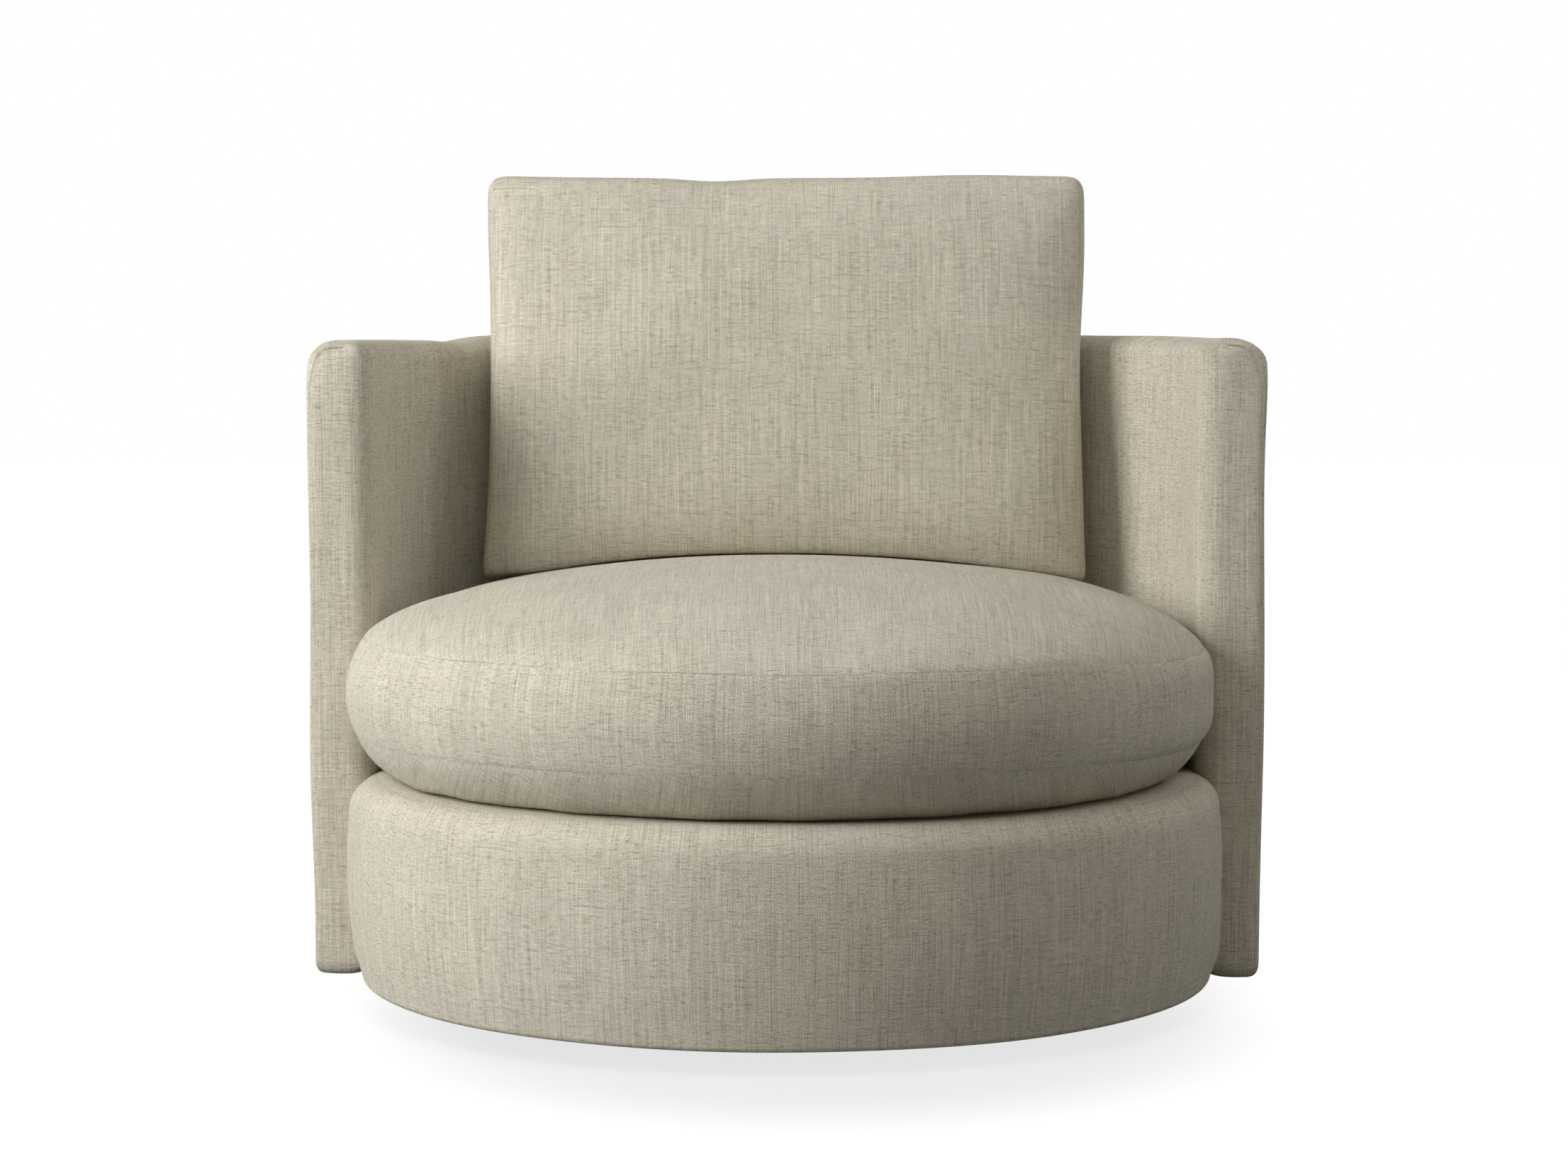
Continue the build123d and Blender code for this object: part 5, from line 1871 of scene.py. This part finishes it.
class Dresser:
    """Holds the finished materials and hangs pieces on the chair's bodies."""

    def __init__(self) -> None:
        """Makes every finish once."""
        self.materials = {finish.slot: finish.material() for finish in FINISHES}

    def paint(self, piece: Piece, slot: Slot) -> None:
        """Gives a piece one finish all over."""
        piece.data.materials.clear()
        piece.data.materials.append(self.materials[slot])

    def upholster(self, piece: Piece, body: Body, nodes: Sequence[str]) -> None:
        """Hangs a padded linen piece on its body.

        Args:
            piece: The piece.
            body: The body that it moves with.
            nodes: The frame's nodes that it stands for.
        """
        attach(piece, body.value)
        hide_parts(*nodes)
        self.paint(piece, Slot.LINEN)
        LOG.info("%s: %d faces", piece.name, len(piece.data.polygons))

    def finish_frame(self) -> None:
        """Gives every node of the frame the finish that its own material names."""
        for name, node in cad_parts.items():
            label = node.data.materials[0].name.split(".")[0]
            node.data.materials[0] = self.materials[Slot(label)]
            LOG.info("%s: %s", name, label)


@dataclass(frozen=True)
class Lamp:
    """A soft square lamp that is aimed at the chair."""

    name: str  # its name
    side: float  # degrees from straight ahead, rising to the right
    rise: float  # degrees above the chair's middle
    size: float  # side of the lamp
    power: float  # its watts
    distance: float = 2.8  # chair to lamp
    on_floor: bool = False  # true if it lights the floor too

    def hang(self, target: Vector, spared: bpy.types.Collection) -> None:
        """Hangs the lamp.

        Args:
            target: Point that it is aimed at.
            spared: The floor, which only some lamps light.
        """
        side = math.radians(self.side)
        rise = math.radians(self.rise)
        away = Vector((math.sin(side) * math.cos(rise), -math.cos(side) * math.cos(rise), math.sin(rise)))
        lamp = bpy.data.lights.new(self.name, "AREA")
        lamp.shape = "SQUARE"
        lamp.size = self.size
        lamp.energy = self.power
        holder = bpy.data.objects.new(self.name, lamp)
        holder.location = target + away * self.distance
        holder.rotation_euler = (-away).to_track_quat("-Z", "Y").to_euler()
        if not self.on_floor:
            holder.light_linking.receiver_collection = spared
        bpy.context.scene.collection.objects.link(holder)


@dataclass(frozen=True)
class Studio:
    """Plain pale floor, soft light and the camera."""

    eye: Place = (-0.0022, -4.030, 0.743)  # place of the camera
    pitch: float = 85.65  # degrees that the camera is tipped up from straight down
    lens: float = 86.74  # focal length of the camera, in millimetres
    sensor: float = 36.0  # width of its sensor, in millimetres
    target: Place = (0.0, 0.0, 0.48)  # point of the chair that the lamps are aimed at
    # the main lamp on the left, a weak one on the right, one overhead and one behind
    lamps: tuple[Lamp, ...] = (
        Lamp("key_lamp", side=-62.0, rise=22.0, size=1.7, power=76.0),
        Lamp("fill_lamp", side=85.0, rise=40.0, size=1.4, power=17.0),
        Lamp("top_lamp", side=0.0, rise=60.0, size=1.4, power=13.0, on_floor=True),
        Lamp("back_lamp", side=170.0, rise=8.0, size=1.7, power=20.0),
    )
    room: Colour = (1.08, 1.0, 0.83)  # colour of the light from all round
    sky: Span = (0.315, 0.0)  # strength of the light from level with the chair and from straight above
    shade_middle: Place = (0.025, -0.159, 0.0)  # middle of the shadow painted into the floor's glow under the chair
    shade_reach: Span = (0.36, 0.64)  # distances from it where the painted shadow starts to fade and ends
    shade_squeeze: float = 1.136  # depth of the painted shadow over its width
    painted_shadow_glow: float = 0.765  # share of white left in the painted shadow
    floor_matt: float = 0.30  # share of the lamps' light that the floor shows
    bounce: float = 0.28  # share of light that the lower floor throws up
    floor_radius: float = 14.0  # middle of the floor to its edge
    floor_sides: int = 64  # sides of the floor
    floor_drop: float = 0.0002  # chair's foot to the floor that is seen
    bounce_drop: float = 0.0012  # chair's foot to the floor below it

    def light(self, floor: Piece) -> None:
        """Hangs the lamps and sets the light from all round, white where the camera sees it.

        Args:
            floor: The floor, which only some lamps light.
        """
        spared = bpy.data.collections.new("spared_by_lamps")
        spared.objects.link(floor)
        spared.collection_objects[0].light_linking.link_state = "EXCLUDE"
        for lamp in self.lamps:
            lamp.hang(Vector(self.target), spared)
        world = bpy.data.worlds.new("studio")
        world.use_nodes = True
        bpy.context.scene.world = world
        nodes = Nodes(world.node_tree)
        path = nodes.add("ShaderNodeLightPath").outputs
        seen = nodes.sums("MAXIMUM", path["Is Camera Ray"], path["Is Glossy Ray"])
        rise = nodes.split(nodes.add("ShaderNodeTexCoord").outputs["Generated"])[2]
        sky = nodes.ranged(rise, (0.0, 1.0), self.sky)
        colour = nodes.mixed(seen, self.room, WHITE)
        strength = nodes.sums("MAXIMUM", seen, sky)
        background = nodes.fed(nodes.add("ShaderNodeBackground"), colour, strength)
        nodes.fed(nodes.add("ShaderNodeOutputWorld"), background.outputs[0])

    def slab(self, name: str, drop: float, material: Material) -> Piece:
        """Lays one round of floor.

        Args:
            name: Name of the round.
            drop: How far below the chair's foot it lies.
            material: What it is made of.

        Returns:
            The round.
        """
        mesh = bpy.data.meshes.new(name)
        turn = np.arange(self.floor_sides) * FULL_TURN / self.floor_sides
        rim = np.stack((np.cos(turn), np.sin(turn), 0.0 * turn), axis=-1) * self.floor_radius
        mesh.from_pydata(rim.tolist(), [], [list(range(self.floor_sides))])
        mesh.materials.append(material)
        slab = bpy.data.objects.new(name, mesh)
        slab.location.z = -drop
        bpy.context.scene.collection.objects.link(slab)
        return slab

    def floor_material(self) -> Material:
        """Makes the floor that the camera sees: white further off, with a soft shadow painted into its glow
        under the chair and a faint real shadow in its matt part.

        Returns:
            The material.
        """
        material = bpy.data.materials.new("studio_floor")
        material.use_nodes = True
        nodes = Nodes(material.node_tree)
        away = nodes.vectors("SUBTRACT", nodes.here(), self.shade_middle)
        oval = nodes.stretched(away, (self.shade_squeeze, 1.0, 0.0))
        distance = nodes.fed(nodes.add("ShaderNodeVectorMath", operation="LENGTH"), oval).outputs["Value"]
        # painted shadow: the floor's glow dims towards its middle under the chair
        glow = nodes.ranged(distance, self.shade_reach, (self.painted_shadow_glow, 1.0), ease="SMOOTHSTEP")
        seen = nodes.add("ShaderNodeLightPath").outputs["Is Camera Ray"]
        shine = nodes.fed(nodes.add("ShaderNodeEmission"), (*WHITE, 1.0), nodes.product(glow, seen))
        matt = nodes.fed(nodes.add("ShaderNodeBsdfDiffuse"), (*[self.floor_matt] * 3, 1.0))
        both = nodes.fed(nodes.add("ShaderNodeAddShader"), shine.outputs[0], matt.outputs[0])
        nodes.fed(nodes.add("ShaderNodeOutputMaterial"), both.outputs[0])
        return material

    def floor(self) -> Piece:
        """Lays the floor that the camera sees, and under it the one that throws light back up.

        Returns:
            The floor that the camera sees.
        """
        upper = self.slab("floor", self.floor_drop, self.floor_material())
        upper.visible_diffuse = False
        upper.visible_shadow = False
        pale = bpy.data.materials.new("studio_floor_below")
        pale.use_nodes = True
        shader = pale.node_tree.nodes["Principled BSDF"]
        shader.inputs["Base Color"].default_value = (*[self.bounce] * 3, 1.0)
        shader.inputs["Roughness"].default_value = 1.0
        lower = self.slab("floor_below", self.bounce_drop, pale)
        lower.visible_camera = False
        lower.visible_glossy = False
        return upper

    def camera(self) -> None:
        """Sets the camera where the photograph was taken from."""
        data = bpy.data.cameras.new("camera")
        data.lens = self.lens
        data.sensor_width = self.sensor
        data.sensor_fit = "HORIZONTAL"
        camera = bpy.data.objects.new("camera", data)
        camera.location = self.eye
        camera.rotation_euler = (math.radians(self.pitch), 0.0, 0.0)
        bpy.context.scene.collection.objects.link(camera)
        bpy.context.scene.camera = camera

    def set_up(self) -> None:
        """Sets up light, floor, camera and a plain view of the colours."""
        self.light(self.floor())
        self.camera()
        bpy.context.scene.view_settings.view_transform = "Standard"


def main() -> None:
    """Dresses the chair, piece by piece, and sets the studio round it."""
    logging.basicConfig(level=logging.INFO, format="%(name)s %(message)s")
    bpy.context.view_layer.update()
    dresser = Dresser()
    dresser.finish_frame()
    for upholstery in (TubWall, Apron, Deck, DustCover, SeatCushion, BackCushion):
        upholstery.on_frame().dress(dresser)
    Studio().set_up()


if __name__ == "__main__":
    main()
